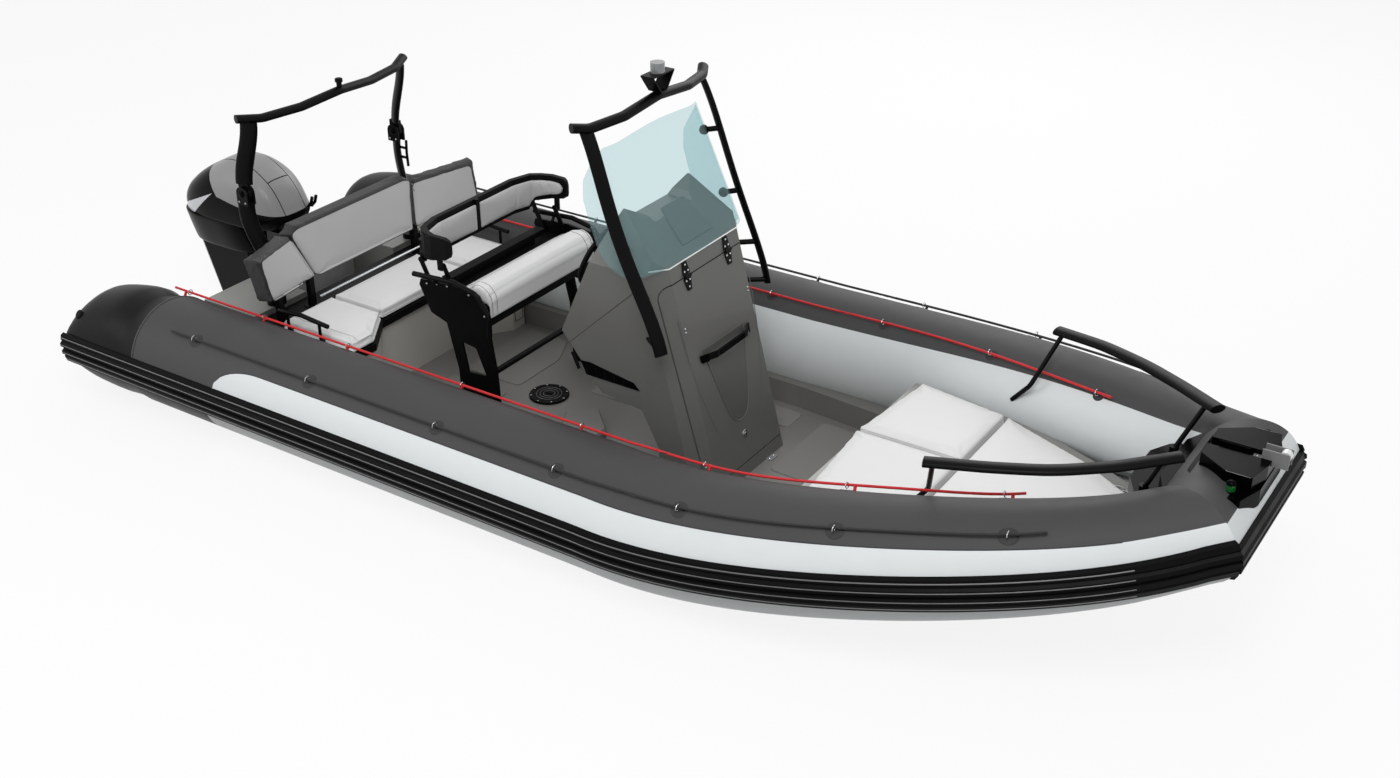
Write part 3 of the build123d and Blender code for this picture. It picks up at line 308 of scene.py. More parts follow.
def disc(centre, normal, radius, height, sides=24, dome=0.0, bore=0.0):
    """A round button standing on a surface, with a rounded rim and optional dome or bore."""
    normal = Vector(normal).normalized()
    side = normal.orthogonal().normalized()
    other = normal.cross(side)
    lip = min(height * 0.4, radius * 0.2)
    rings = [(radius, 0.0), (radius, height - lip), (radius - lip, height)]
    if bore:
        rings += [(bore, height), (bore, height - lip)]
    elif dome:
        rings += [(radius * 0.6, height + dome * 0.7), (radius * 0.25, height + dome)]
    return skin([[Vector(centre) + side * (r * math.cos(a)) + other * (r * math.sin(a)) + normal * h
                  for a in circle(sides)] for r, h in rings], ends=True)


def bolt_heads(name, places, mat, body="boat", radius=0.006, height=0.0035):
    """Domed heads: places are (point, normal)."""
    parts = [disc(p, n, radius, height, sides=14, dome=height * 0.5) for p, n in places]
    return make(name, *join(parts), mat, body)


def slab(outline, normal, height, bevel):
    """A raised plate with a chamfered rim over a planar outline of 3-D points."""
    normal = Vector(normal).normalized()
    outline = [Vector(p) for p in outline]
    centre = sum(outline, Vector()) / len(outline)
    return skin([outline, [p + normal * (height - bevel) for p in outline],
                 [p + normal * height + (centre - p).normalized() * bevel for p in outline]], ends=True)


def rounded(points, radius):
    """A closed outline with its corners rounded."""
    steps = 6
    out = []
    for i, p in enumerate(points):
        p = Vector(p)
        a = Vector(points[i - 1]) - p
        b = Vector(points[(i + 1) % len(points)]) - p
        reach = min(radius, a.length * 0.45, b.length * 0.45)
        start, end = p + a.normalized() * reach, p + b.normalized() * reach
        for s in range(steps + 1):
            t = s / steps
            out.append(start * (1 - t) ** 2 + p * (2 * t * (1 - t)) + end * t ** 2)
    return out


def oblong(x0, x1, y0, y1):
    return [(x0, y0), (x1, y0), (x1, y1), (x0, y1)]


def level_plate(outline, z, height, bevel, radius=0.0):
    """A plate on a level surface over an outline of (x, y), its corners rounded if a radius is given."""
    if radius:
        outline = rounded(outline, radius)
    return slab([(p[0], p[1], z) for p in outline], UP, height, bevel)


def curved(points, steps):
    """A smooth run through points."""
    out = []
    points = [Vector(p) for p in points]
    for i in range(len(points) - 1):
        before = points[max(i - 1, 0)]
        a, b = points[i], points[i + 1]
        after = points[min(i + 2, len(points) - 1)]
        for s in range(steps):
            t = s / steps
            out.append(0.5 * ((2 * a) + (b - before) * t + (2 * before - 5 * a + 4 * b - after) * t * t
                              + (3 * a - before - 3 * b + after) * t ** 3))
    return out + points[-1:]


def between(table, x):
    """Value at x of a table of (place, value), in straight lines, the last of which runs on."""
    for (x0, y0), (x1, y1) in zip(table, table[1:]):
        if x <= x1:
            break
    return y0 + (y1 - y0) * (x - x0) / (x1 - x0)


def tree_of(*objects):
    """Ray-casting tree over objects' meshes."""
    verts, faces = [], []
    for obj in objects:
        base = len(verts)
        verts += [v.co.copy() for v in obj.data.vertices]
        faces += [tuple(base + i for i in p.vertices) for p in obj.data.polygons]
    return BVHTree.FromPolygons(verts, faces)


# ---------------------------------------------------------------- inflatable tubes
# path of the port tube's centre: x, y, z; the tubes' surfaces are found from the frame by casting rays
TUBE_PATH = [Vector(p) for p in ((0.500, 0.960, 0.300), (0.900, 0.952, 0.316), (1.460, 0.866, 0.384),
                                 (2.170, 0.650, 0.500), (2.620, 0.428, 0.594), (2.806, 0.309, 0.655))]
NOSE = TUBE_PATH[-1]
NOSE_ALONG = (TUBE_PATH[-1] - TUBE_PATH[-2]).normalized()
MITRE = (NOSE_ALONG + Vector((0, -1, 0))).normalized()
NOSE_RADIUS = 0.200
CONE_START = -2.290
ROWS_END = 2.62
ROW_STEP = 0.04
# rows on the stern cone, and rows beyond the fitted ones: how far along, to the nose and past it
CONE_ROWS = (-2.812, -2.811, -2.805, -2.795, -2.780, -2.760, -2.730, -2.700, -2.650, -2.600, -2.540, -2.480,
             -2.400, -2.340)
NOSE_ROWS = (0.06, 0.12, 0.18, 0.24, 0.32, 0.60)
NOSE_REACH, NOSE_TAPER, NOSE_BEND = 0.30, 0.24, 0.20
CONE_TIP_RADIUS = 0.13
# angles on the tube's section, in degrees from outboard over the top
STRAKE_LOW, STRAKE_HIGH = -21.5, 15.0
PANEL_LOW = STRAKE_HIGH + 0.3
PANEL_TOP = 41.0
INNER_EDGE, INNER_LOW = 134.0, 215.0
BAND_LOW = -62.0
NOSE_LIGHT_TOP = 50.0
# where the coloured fields start, and the length of the panel's round end
PANEL_START, PANEL_ROUND = -1.70, 0.28
BAND_START, INNER_START = -1.787, -1.4
DARK, LIGHT, BLACK, LIGHT_PAINTED_SHADE = range(4)
TUBE_FINISHES = [TUBE_DARK, TUBE_LIGHT, TUBE_BLACK, TUBE_LIGHT_PAINTED_SHADE]
tube_tree = tree_of(nodes["port_tube"], nodes["bow_tube"])


def path_at(x):
    """Centre and direction of the port tube at x."""
    if x <= TUBE_PATH[0].x:
        return Vector((x, TUBE_PATH[0].y, TUBE_PATH[0].z)), AHEAD.copy()
    for i, (a, b) in enumerate(zip(TUBE_PATH, TUBE_PATH[1:])):
        if x <= b.x:
            break

    def tangent(k):
        return (TUBE_PATH[min(k + 1, len(TUBE_PATH) - 1)] - TUBE_PATH[k - 1]).normalized() if k else AHEAD
    t = (x - a.x) / (b.x - a.x)
    return a.lerp(b, t), tangent(i).lerp(tangent(i + 1), t).normalized()


def across(along):
    """The outboard and up directions of a section."""
    out = Vector((-along.y, along.x, 0)).normalized()
    up = along.cross(out).normalized()
    return out, up if up.z > 0 else -up


def fitted_row(x):
    """Centre, outboard direction, up direction and radius of the tube's section at x."""
    centre, along = path_at(x)
    out, up = across(along)
    # circle through the hits, by least squares on x*x + y*y = 2ax + 2by + c
    m = Matrix(((0, 0, 0), (0, 0, 0), (0, 0, 0)))
    v = Vector((0, 0, 0))
    for angle in circle(24):
        c, s = math.cos(angle), math.sin(angle)
        hit = tube_tree.ray_cast(centre, out * c + up * s, 0.5)
        if hit[0]:
            q = (2 * hit[3] * c, 2 * hit[3] * s, 1.0)
            for i in range(3):
                v[i] += q[i] * hit[3] ** 2
                for j in range(3):
                    m[i][j] += q[i] * q[j]
    a, b, c = m.inverted() @ v
    return centre + out * a + up * b, out, up, math.sqrt(c + a * a + b * b)


row_cache = {}


def row_at(x):
    """The fitted section at x, between rows that are a step apart."""
    x = min(max(x, CONE_START), ROWS_END)
    k = math.floor((x - CONE_START) / ROW_STEP)
    for i in (k, k + 1):
        if i not in row_cache:
            row_cache[i] = fitted_row(CONE_START + i * ROW_STEP)
    (c0, o0, u0, r0), (c1, o1, u1, r1) = row_cache[k], row_cache[k + 1]
    t = (x - CONE_START) / ROW_STEP - k
    return c0.lerp(c1, t), o0.lerp(o1, t).normalized(), u0.lerp(u1, t).normalized(), r0 + (r1 - r0) * t


def on_tube(x, angle, height, side):
    """A point on the port (+1) or starboard (-1) tube and the surface's direction there."""
    centre, out, up, radius = row_at(x)
    a = math.radians(angle)
    normal = out * math.cos(a) + up * math.sin(a)
    return flip(centre + normal * (radius + height), side), flip(normal, side)


def panel_top(x):
    """Upper edge of the light panel on the outboard side, rounded at its aft end."""
    t = min(1.0, max(0.0, x - PANEL_START) / PANEL_ROUND)
    return PANEL_LOW + (PANEL_TOP - PANEL_LOW) * math.sqrt(1 - (1 - t) ** 2)


def columns(x):
    """Angles of the tube's mesh columns at x and the field between each two of them."""
    top = panel_top(x)
    spans = [(BAND_LOW, STRAKE_LOW, 8, "band"), (STRAKE_LOW, STRAKE_HIGH, 6, "under"),
             (STRAKE_HIGH, top, 6, "panel"), (top, 90.0, 12, "top"), (90.0, INNER_EDGE, 10, "top"),
             (INNER_EDGE, INNER_LOW, 14, "inner"), (INNER_LOW, 360 + BAND_LOW, 12, "low")]
    return zip(*[(start + (end - start) * k / count, field) for start, end, count, field in spans
                 for k in range(count)])


def section(x, centre, out, up, radius):
    """A ring of the tube's mesh."""
    turns = [math.radians(a) for a in next(columns(x))]
    return [centre + (out * math.cos(a) + up * math.sin(a)) * radius for a in turns]


def mitre(point):
    """Slide a point back along the tube to the mitre with the nose."""
    over = max(0.0, (point - NOSE).dot(MITRE))
    return point - NOSE_ALONG * (over / NOSE_ALONG.dot(MITRE))


def field_finish(field, x):
    if field == "under" or x < CONE_START or (x < BAND_START and field in ("band", "low")):
        return BLACK
    # the band under the strake and the tube's low side: the light fabric, darkened as painted shade
    if field in ("band", "low"):
        return LIGHT_PAINTED_SHADE
    light = (field == "panel" and x > PANEL_START) or (field == "inner" and x > INNER_START)
    return LIGHT if light else DARK


def replace_tube(node, verts, faces, index, slot):
    obj = make(node + "_fabric", verts, faces, TUBE_FINISHES, smooth=60, index=index)
    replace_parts(obj, node)


def side_tubes():
    """The fabric of the side tubes: the stern cones, the fitted rows and the mitre at the nose."""
    rows = []
    angles, fields = columns(CONE_START)
    for x in CONE_ROWS:
        centre = Vector((x, TUBE_PATH[0].y, TUBE_PATH[0].z))
        ring = []
        for a in angles:
            ray = Vector((0, math.cos(math.radians(a)), math.sin(math.radians(a))))
            hit = tube_tree.ray_cast(centre + AHEAD * 0.0002, ray, 0.6)
            ring.append(Vector((x, hit[0].y, hit[0].z)) if hit[0] else centre + ray * CONE_TIP_RADIUS)
        rows.append((x, ring))
    stops = {CONE_START + ROW_STEP * k for k in range(123)}
    for x in sorted(stops | {PANEL_START, PANEL_START + 0.004, PANEL_START + 0.02, BAND_START}):
        rows.append((x, section(x, *row_at(x))))
    radius = row_at(ROWS_END)[3]
    start, start_along = path_at(ROWS_END)
    for step in NOSE_ROWS:
        along = start_along.lerp(NOSE_ALONG, min(1, step / NOSE_BEND)).normalized()
        base = start.lerp(NOSE, min(1.0, step / (NOSE - start).length))
        if step > NOSE_REACH:
            base = NOSE + NOSE_ALONG * (step - NOSE_REACH)
        here = radius + (NOSE_RADIUS - radius) * min(1.0, step / NOSE_TAPER)
        rows.append((ROWS_END + step, [mitre(p) for p in section(ROWS_END, base, *across(along), here)]))
    verts, faces = skin([ring for _, ring in rows])
    index = [field_finish(field, (a[0] + b[0]) / 2) for a, b in zip(rows, rows[1:]) for field in fields]
    faces.append(tuple(range(len(angles))))
    index.append(BLACK)
    replace_tube("port_tube", verts, faces, index, "tube_fabric_dark")
    replace_tube("starboard_tube", [flip(v) for v in verts], [f[::-1] for f in faces], index,
                 "tube_fabric_dark")


def nose_tube():
    """The fabric of the nose between the two mitres."""
    angles = [BAND_LOW + 5.0 * k for k in range(72)]
    rows = []
    for share in range(-4, 5):
        ring = []
        for a in angles:
            out = Vector((math.cos(math.radians(a)), 0, math.sin(math.radians(a)))) * NOSE_RADIUS
            reach = NOSE.y - out.dot(MITRE) / MITRE.y
            ring.append(Vector((NOSE.x + out.x, share / 4 * reach, NOSE.z + out.z)))
        rows.append(ring)
    index = []
    # below the strake and on the low side: the light fabric, darkened as painted shade
    for a in angles:
        a += 2.5
        index.append(BLACK if STRAKE_LOW < a < STRAKE_HIGH else LIGHT if STRAKE_HIGH < a < NOSE_LIGHT_TOP
                     else DARK if NOSE_LIGHT_TOP < a < INNER_LOW else LIGHT_PAINTED_SHADE)
    replace_tube("bow_tube", *skin(rows), index * 8, "tube_fabric_nose")


side_tubes()
nose_tube()

# fabric seams: round the stern cone and along the panel
seams = []
for side in SIDES:
    seams.append([on_tube(CONE_START + 0.012, STRAKE_HIGH + 5 * k, 0.0004, side)[0] for k in range(58)])
    seams.append([on_tube(x / 1000, panel_top(x / 1000), 0.0004, side)[0] for x in range(-1690, 2600, 30)])
cords("tube_seams", seams, 0.0022, TUBE_PATCH, sides=6)

# ridges of the rubbing strake, drawn as grey cords whose colour is a painted highlight on the black rubber:
# heights on the strake's own section, and how far out they stand
ridges = []
for height, thickness in ((0.052, 0.0205), (0.013, 0.0225), (-0.031, 0.0225), (-0.074, 0.0165)):
    run = []
    for k in range(91):
        x = -2.806 + 0.06 * k
        centre, out, up, radius = row_at(x)
        if x < CONE_START:
            centre = Vector((x, centre.y, centre.z))
        run.append(centre + out * (math.sqrt(radius ** 2 - height ** 2) + thickness) + up * height)
    ridges += [[flip(p, side) for p in run] for side in SIDES]
cords("strake_ridge_highlights", ridges, 0.0030, RUBBER_RIDGE_HIGHLIGHT, sides=6)

# ---------------------------------------------------------------- grab line rings and patches
INNER_EYES = (-2.320, -1.750, -1.180, -0.460, 0.230, 0.915, 1.565, 2.185)
OUTER_EYES = (-1.900, -1.130, -0.345, 0.325, 0.950, 1.590, 2.210)
# angle of each line on the tube, the inner one's at x
INNER_ANGLE = ((-3.0, 119.0), (0.9, 119.0), (1.53, 123.3), (2.124, 131.0))
OUTER_ANGLE = 54.0
PATCH_THICK = 0.0016


def patch(x, angle, side, radius):
    """A round fabric patch that follows the tube, as vertices and faces."""
    tube_radius = row_at(x)[3]
    rings = []
    for r, lift in ((0.5, PATCH_THICK), (0.93, PATCH_THICK), (1.0, -0.0005)):
        rings.append([on_tube(x + r * radius * math.cos(a),
                              angle + math.degrees(r * radius * math.sin(a) / tube_radius), lift, side)[0]
                      for a in circle(28)])
    return fan(on_tube(x, angle, PATCH_THICK, side)[0], rings)


patches, rings = [], []
eyes = [(x, between(INNER_ANGLE, x), 0.030) for x in INNER_EYES]
eyes += [(x, OUTER_ANGLE, 0.038) for x in OUTER_EYES]
for side in SIDES:
    for x, angle, size in eyes:
        patches.append(patch(max(x, -2.24), angle, side, size))
        centre, normal = on_tube(x, angle, 0.020, side)
        cross = AHEAD.cross(normal).normalized()
        rings.append([centre + normal * (0.013 * math.cos(a)) + cross * (0.015 * math.sin(a))
                      for a in circle(20)])
make("line_patches", *join(patches), TUBE_PATCH, smooth=40)
cords("line_rings", rings, 0.0022, STEEL, sides=8, closed=True)


# ---------------------------------------------------------------- soft goods
SIM_FRAMES = 20
# how far from its carrier a pad's vertex is still held
HELD_WITHIN = 0.012
PRESSURE = 4.0
SEW_DEPTH = 0.0035


def loose_parts(node):
    """The solids of a CAD node as separate (verts, faces), from starboard to port."""
    mesh = bmesh.new()
    mesh.from_mesh(nodes[node].data)
    bmesh.ops.remove_doubles(mesh, verts=mesh.verts, dist=1e-5)
    left = set(mesh.verts)
    parts = []
    while left:
        group, front = set(), [next(iter(left))]
        while front:
            v = front.pop()
            if v not in group:
                group.add(v)
                front += [e.other_vert(v) for e in v.link_edges]
        left -= group
        order = {v: i for i, v in enumerate(sorted(group, key=lambda v: v.index))}
        faces = sorted({f for v in group for f in v.link_faces}, key=lambda f: f.index)
        parts.append(([v.co.copy() for v in order], [[order[v] for v in f.verts] for f in faces]))
    mesh.free()
    return sorted(parts, key=lambda part: sum(v.y for v in part[0]) / len(part[0]))


def to_bmesh(verts, faces):
    mesh = bmesh.new()
    made = [mesh.verts.new(v) for v in verts]
    for f in faces:
        mesh.faces.new([made[i] for i in f])
    return mesh


def slice_mesh(mesh, point, normal, **kw):
    """Cut a mesh along a plane and give what lies in the cut."""
    geometry = mesh.verts[:] + mesh.edges[:] + mesh.faces[:]
    return bmesh.ops.bisect_plane(mesh, geom=geometry, plane_co=point, plane_no=normal, **kw)["geom_cut"]


def cut(part, point, normal):
    """The part of a solid behind a plane, closed again."""
    mesh = to_bmesh(*part)
    rim = slice_mesh(mesh, point, normal, clear_outer=True)
    bmesh.ops.edgeloop_fill(mesh, edges=[g for g in rim if isinstance(g, bmesh.types.BMEdge)])
    mesh.verts.index_update()
    out = ([v.co.copy() for v in mesh.verts], [[v.index for v in f.verts] for f in mesh.faces])
    mesh.free()
    return out


def settle(obj):
    """Apply the object's modifiers to its mesh."""
    graph = bpy.context.evaluated_depsgraph_get()
    graph.update()
    mesh = bpy.data.meshes.new_from_object(obj.evaluated_get(graph))
    obj.modifiers.clear()
    obj.data = mesh


def reshape(obj, smooth, shrink):
    """Round a mesh by smoothing it, and draw it in along its normals."""
    mesh = bmesh.new()
    mesh.from_mesh(obj.data)
    for _ in range(smooth):
        bmesh.ops.smooth_vert(mesh, verts=mesh.verts, factor=0.5, use_axis_x=True, use_axis_y=True,
                              use_axis_z=True)
    mesh.normal_update()
    moves = [v.normal * -shrink for v in mesh.verts]
    for v, move in zip(mesh.verts, moves):
        v.co += move
    mesh.to_mesh(obj.data)
    mesh.free()


def blow_up(obj, carrier, cap):
    """Swell a pad as cloth under pressure, held where it rests, with its movement capped."""
    rest = [v.co.copy() for v in obj.data.vertices]
    group = obj.vertex_groups.new(name="held")
    if carrier:
        held = tree_of(nodes[carrier])
        for i, point in enumerate(rest):
            if held.find_nearest(point, HELD_WITHIN)[0] is not None:
                group.add([i], 1.0, "REPLACE")
    cloth = obj.modifiers.new("cloth", "CLOTH")
    settings = cloth.settings
    settings.use_pressure = True
    settings.uniform_pressure_force = PRESSURE
    settings.quality = 4
    settings.mass = 0.3
    settings.vertex_group_mass = "held"
    settings.effector_weights.gravity = 0
    cloth.collision_settings.use_collision = False
    scene = bpy.context.scene
    for number in range(1, SIM_FRAMES + 1):
        scene.frame_set(number)
    settle(obj)
    scene.frame_set(1)
    obj.vertex_groups.clear()
    for v, start in zip(obj.data.vertices, rest):
        move = v.co - start
        if move.length > cap:
            v.co = start + move.normalized() * cap


def divided(points, step):
    """A run with points added along its straights, at most about a step apart."""
    out = []
    for a, b in zip(points, points[1:]):
        count = max(1, int((b - a).length / step))
        out += [a.lerp(b, k / count) for k in range(count)]
    return out + points[-1:]


def sew(obj, lines, width):
    """Draw the surface in along sewn lines."""
    marks = [mark for line in lines for mark in divided(line, width * 0.5)]
    tree = KDTree(len(marks))
    for i, mark in enumerate(marks):
        tree.insert(mark, i)
    tree.balance()
    moves = []
    for v in obj.data.vertices:
        far = tree.find(v.co)[2]
        moves.append(v.normal * (-SEW_DEPTH * math.exp(-(far / width) ** 2)) if far < width * 3 else Vector())
    for v, move in zip(obj.data.vertices, moves):
        v.co += move


def pad(name, solid, mat, node, body="boat", carrier=None, voxel=0.008, smooth=3, shrink=0.004, cap=0.010,
        fill=0.8, lines=()):
    """A cushion made from its CAD solid: rounded, blown up, sewn and smoothed."""
    obj = make(name, *solid, mat, body, smooth=0)
    remesh = obj.modifiers.new("remesh", "REMESH")
    remesh.mode = "VOXEL"
    remesh.voxel_size = voxel
    settle(obj)
    reshape(obj, smooth, shrink)
    blow_up(obj, carrier, cap)
    if lines:
        sew(obj, lines, voxel * 1.3)
    for poly in obj.data.polygons:
        poly.use_smooth = True
    obj.data.materials.clear()
    obj.data.materials.append(mat)
    finer = obj.modifiers.new("finer", "SUBSURF")
    finer.levels = 1
    finer.render_levels = 1
    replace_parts(obj, node)
    return obj


def laid(tree, points, way, lift):
    """Points cast along a direction onto a surface, lifted off it."""
    way = Vector(way).normalized()
    out = []
    for p in points:
        hit = tree.ray_cast(p - way * 0.3, way, 0.7)
        out.append((hit[0] or p) - way * lift)
    return out


def closed(points):
    return points + points[:1]


def piping(name, obj, outline, way, mat, radius=0.0024, lift=0.0004):
    """A cord sewn along a closed outline on a cushion, found by casting the outline onto it."""
    run = laid(tree_of(obj), divided(closed(outline), 0.012), way, lift)
    cords(name, [run], radius, mat, sides=6)


# a sewn-on panel: its lift, how far its rim sinks in, and how far out its rings lie, closer together where
# the pad curves down
PANEL_LIFT, PANEL_SINK = 0.0016, 0.001
PANEL_RINGS = (1 / 6, 1 / 3, 1 / 2, 2 / 3, 0.78, 0.86, 0.91, 0.945, 0.97, 0.985, 0.994, 1.0)


def panel_on(tree, outline, way):
    """A thin sewn-on panel over an outline, with its rim turned down, as vertices and faces."""
    centre = sum(outline, Vector()) / len(outline)
    rings = [laid(tree, [centre.lerp(p, share) for p in outline], way, PANEL_LIFT)
             for share in PANEL_RINGS]
    rings.append(laid(tree, [centre.lerp(p, 1.002) for p in outline], way, -PANEL_SINK))
    return fan(laid(tree, [centre], way, PANEL_LIFT)[0], rings)


def flat_cushions(name, node, carrier, third, side, middle, piping_radius, **kw):
    """A cushion on each side and a third one, with their piping: outlines as (x, y), side's for port."""
    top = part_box(node)[1].z
    outlines = ([(x, -y) for x, y in side], middle, side)
    for place, solid, outline in zip(("starboard", third, "port"), loose_parts(node), outlines):
        obj = pad(name + place, solid, VINYL_WHITE, node, carrier=carrier, **kw)
        edge = [Vector((x, y, top)) for x, y in outline]
        piping(name + place + "_piping", obj, edge, (0, 0, -1), PIPING, piping_radius)


# the bench backrest: where a wing meets the middle in front, low and high, and from there to the back; the
# middle's top and foot; and the outer corners of a wing
BACK_LOW = Vector((-1.812, 0.378, 0.606))
BACK_HIGH = Vector((-1.892, 0.460, 0.855))
BACK_THICK = Vector((-0.074, 0.031, 0))
BACK_TOP = Vector((-1.901, 0, 0.890))
BACK_FOOT = Vector((-1.809, 0, 0.606))
WING_LOW = Vector((-1.690, 0.808, 0.652))
WING_HIGH = Vector((-1.738, 0.826, 0.889))


def bench_back():
    """The bench's backrest in three parts, each with a light panel inset from the dark border."""
    solid = loose_parts("bench_backrest")[0]
    normal = (BACK_HIGH - BACK_LOW).cross(BACK_THICK).normalized()
    normal *= math.copysign(1, normal.y)
    gap, rim, joint = 0.002, 0.026, 0.006
    wing_port = cut(solid, BACK_LOW + normal * gap, -normal)
    wing_starboard = cut(solid, flip(BACK_LOW + normal * gap), -flip(normal))
    centre = cut(cut(solid, BACK_LOW - normal * gap, normal), flip(BACK_LOW - normal * gap), flip(normal))
    along = (WING_LOW - BACK_LOW).normalized()
    rise = (BACK_HIGH - BACK_LOW).normalized()
    wing = [BACK_LOW + along * joint + rise * joint, WING_LOW - along * rim + rise * joint,
            WING_HIGH - along * rim - rise * rim, BACK_HIGH + along * joint - rise * rim]
    lean = (BACK_TOP - BACK_FOOT).normalized()
    top, low = BACK_TOP - lean * rim, BACK_FOOT + lean * joint
    half = [Vector(p) for p in ((low.x, 0.372, low.z), (-1.890, 0.448, 0.850), (top.x, 0.404, top.z))]
    face = [flip(half[0])] + half + [flip(p) for p in half[:0:-1]]
    for side, part, outline, way in (
            ("starboard", wing_starboard, [flip(p) for p in wing], (-0.96, -0.27, 0)),
            ("centre", centre, face, (-0.95, 0, -0.3)),
            ("port", wing_port, wing, (-0.96, 0.27, 0))):
        obj = pad("bench_back_" + side, part, VINYL_DARK, "bench_backrest", cap=0.007)
        outline = divided(closed(rounded(outline, 0.030)), 0.03)[:-1]
        panel = make("bench_back_panel_" + side, *panel_on(tree_of(obj), outline, way), VINYL_GREY, smooth=50)
        piping("bench_back_piping_" + side, obj, outline, way, VINYL_DARK, lift=0.0012)


def helm_cushion():
    """The helm's cushion, with lines of stitching over its rounded front at each end: profile as (x, z)."""
    profile = [(-0.820, 0.775), (-0.800, 0.799), (-0.740, 0.830), (-0.700, 0.856), (-0.668, 0.866),
               (-0.634, 0.858), (-0.610, 0.834), (-0.599, 0.800), (-0.598, 0.712)]
    ends = [[Vector((x, y, z)) for x, z in profile] for y in (-0.400, -0.362, 0.362, 0.400)]
    obj = pad("helm_cushion_cover", loose_parts("helm_cushion")[0], VINYL_WHITE, "helm_cushion",
              carrier="seat_pan", voxel=0.007, smooth=4, lines=ends)
    tree = tree_of(obj)
    runs = []
    for line in ends:
        run = [a.lerp(b, k / 4) for a, b in zip(line, line[1:]) for k in range(4)] + line[-1:]
        found = [tree.find_nearest(p) for p in run]
        runs.append([hit[0] + hit[1] * 0.0004 for hit in found])
    cords("helm_cushion_stitching", runs, 0.0012, THREAD, sides=5)


# aft edge of the bow pads, and where the fore pad starts
AFT, SEAM = 1.170, 1.695
flat_cushions("bow_pad_", "bow_pads", "bow_locker", "fore",
              [(AFT + 0.012, 0.015), (AFT + 0.065, 0.548), (SEAM - 0.012, 0.474), (SEAM - 0.012, 0.015)],
              [(SEAM + 0.018, -0.468), (SEAM + 0.018, 0.468), (2.148, 0.288), (2.325, 0.180), (2.455, 0.098),
               (2.455, -0.098), (2.325, -0.180), (2.148, -0.288)],
              0.0012, voxel=0.0098, shrink=0.003, cap=0.008, fill=0.6)
flat_cushions("bench_cushion_", "bench_cushions", "bench_seat_base", "centre",
              [(-1.758, 0.346), (-1.758, 0.640), (-1.286, 0.640), (-1.286, 0.546), (-1.424, 0.346)],
              [(-1.758, -0.316), (-1.758, 0.316), (-1.429, 0.316), (-1.429, -0.316)], 0.0024, smooth=4)
bench_back()
helm_cushion()
for place, solid in zip(("starboard", "port"), loose_parts("helm_back_pads")):
    pad("helm_back_pad_" + place, solid, VINYL_GREY, "helm_back_pads", "helm_backrest", "helm_backrest",
        voxel=0.005, smooth=8, shrink=0.002, cap=0.009)


# ---------------------------------------------------------------- both sides
def mirrored(runs):
    """Runs of points given for port, and after them the same runs for starboard."""
    return [[flip(p, side) for p in run] for side in SIDES for run in runs]


def on_both(places):
    """Points with their directions given for port, and after them the same for starboard."""
    return [(flip(p, side), flip(n, side)) for side in SIDES for p, n in places]


def slope_frame(low, high):
    """The way up a sloping face that spans the boat, and the way forward out of it."""
    up = (high - low).normalized()
    return up, Vector((up.z, 0, -up.x))


# ---------------------------------------------------------------- console
DOOR_TOP = Vector((0.360, 0, 1.080))
DOOR_LOW = Vector((0.575, 0, 0.250))
DOOR_UP, DOOR_OUT = slope_frame(DOOR_LOW, DOOR_TOP)
CONSOLE_SIDE = 0.3855
DECK_Z = 0.0503
HINGE_Y = 0.170
# how far up the door's face, from its hinge line
STRAP_RISE = -0.398
LOCK_RISE = -0.868


def on_door(rise, y, height=0.0):
    """A point on the door's face: the way up from its hinge line, y, and height off the face."""
    return DOOR_TOP + DOOR_UP * rise + DOOR_OUT * height + Vector((0, y, 0))


def side_slabs(name, outline, mat, height, bevel):
    """A raised plate on each side of the console: outline as (x, z)."""
    make(name, *join([slab([(x, CONSOLE_SIDE * side, z) for x, z in outline], (0, side, 0), height, bevel)
                      for side in SIDES]), mat)


def console_sides():
    """The light strip under the screen, and the part line and vents on each side."""
    strip = [(0.286, 0.362, 1.152), (0.344, 0.284, 1.1505), (0.344, -0.284, 1.1505), (0.286, -0.362, 1.152)]
    cords("screen_strip", [strip], 0.0035, LAMP_WHITE, sides=8)
    cords("console_part_line", mirrored([[(-0.156, 0.3862, 0.693), (0.226, 0.3780, 1.051)]]), 0.0016,
          CONSOLE_SEAM, sides=6)
    side_slabs("console_vents", [(-0.094, 0.614), (-0.040, 0.618), (0.209, 0.581), (0.242, 0.549),
                                 (-0.062, 0.549)], BLACK_GLOSS, 0.004, 0.002)
    ribs = [[(-0.050 + 0.052 * k, 0.390, 0.556), (-0.060 + 0.052 * k, 0.390, 0.606 - 0.006 * k)]
            for k in range(5)]
    cords("console_vent_ribs", mirrored(ribs), 0.0022, BLACK_PLASTIC, sides=6)
    side_slabs("console_aft_corner", [(-0.150, 0.640), (-0.128, 0.655), (-0.098, 0.572), (-0.112, 0.560)],
               BLACK_PLASTIC, 0.003, 0.001)


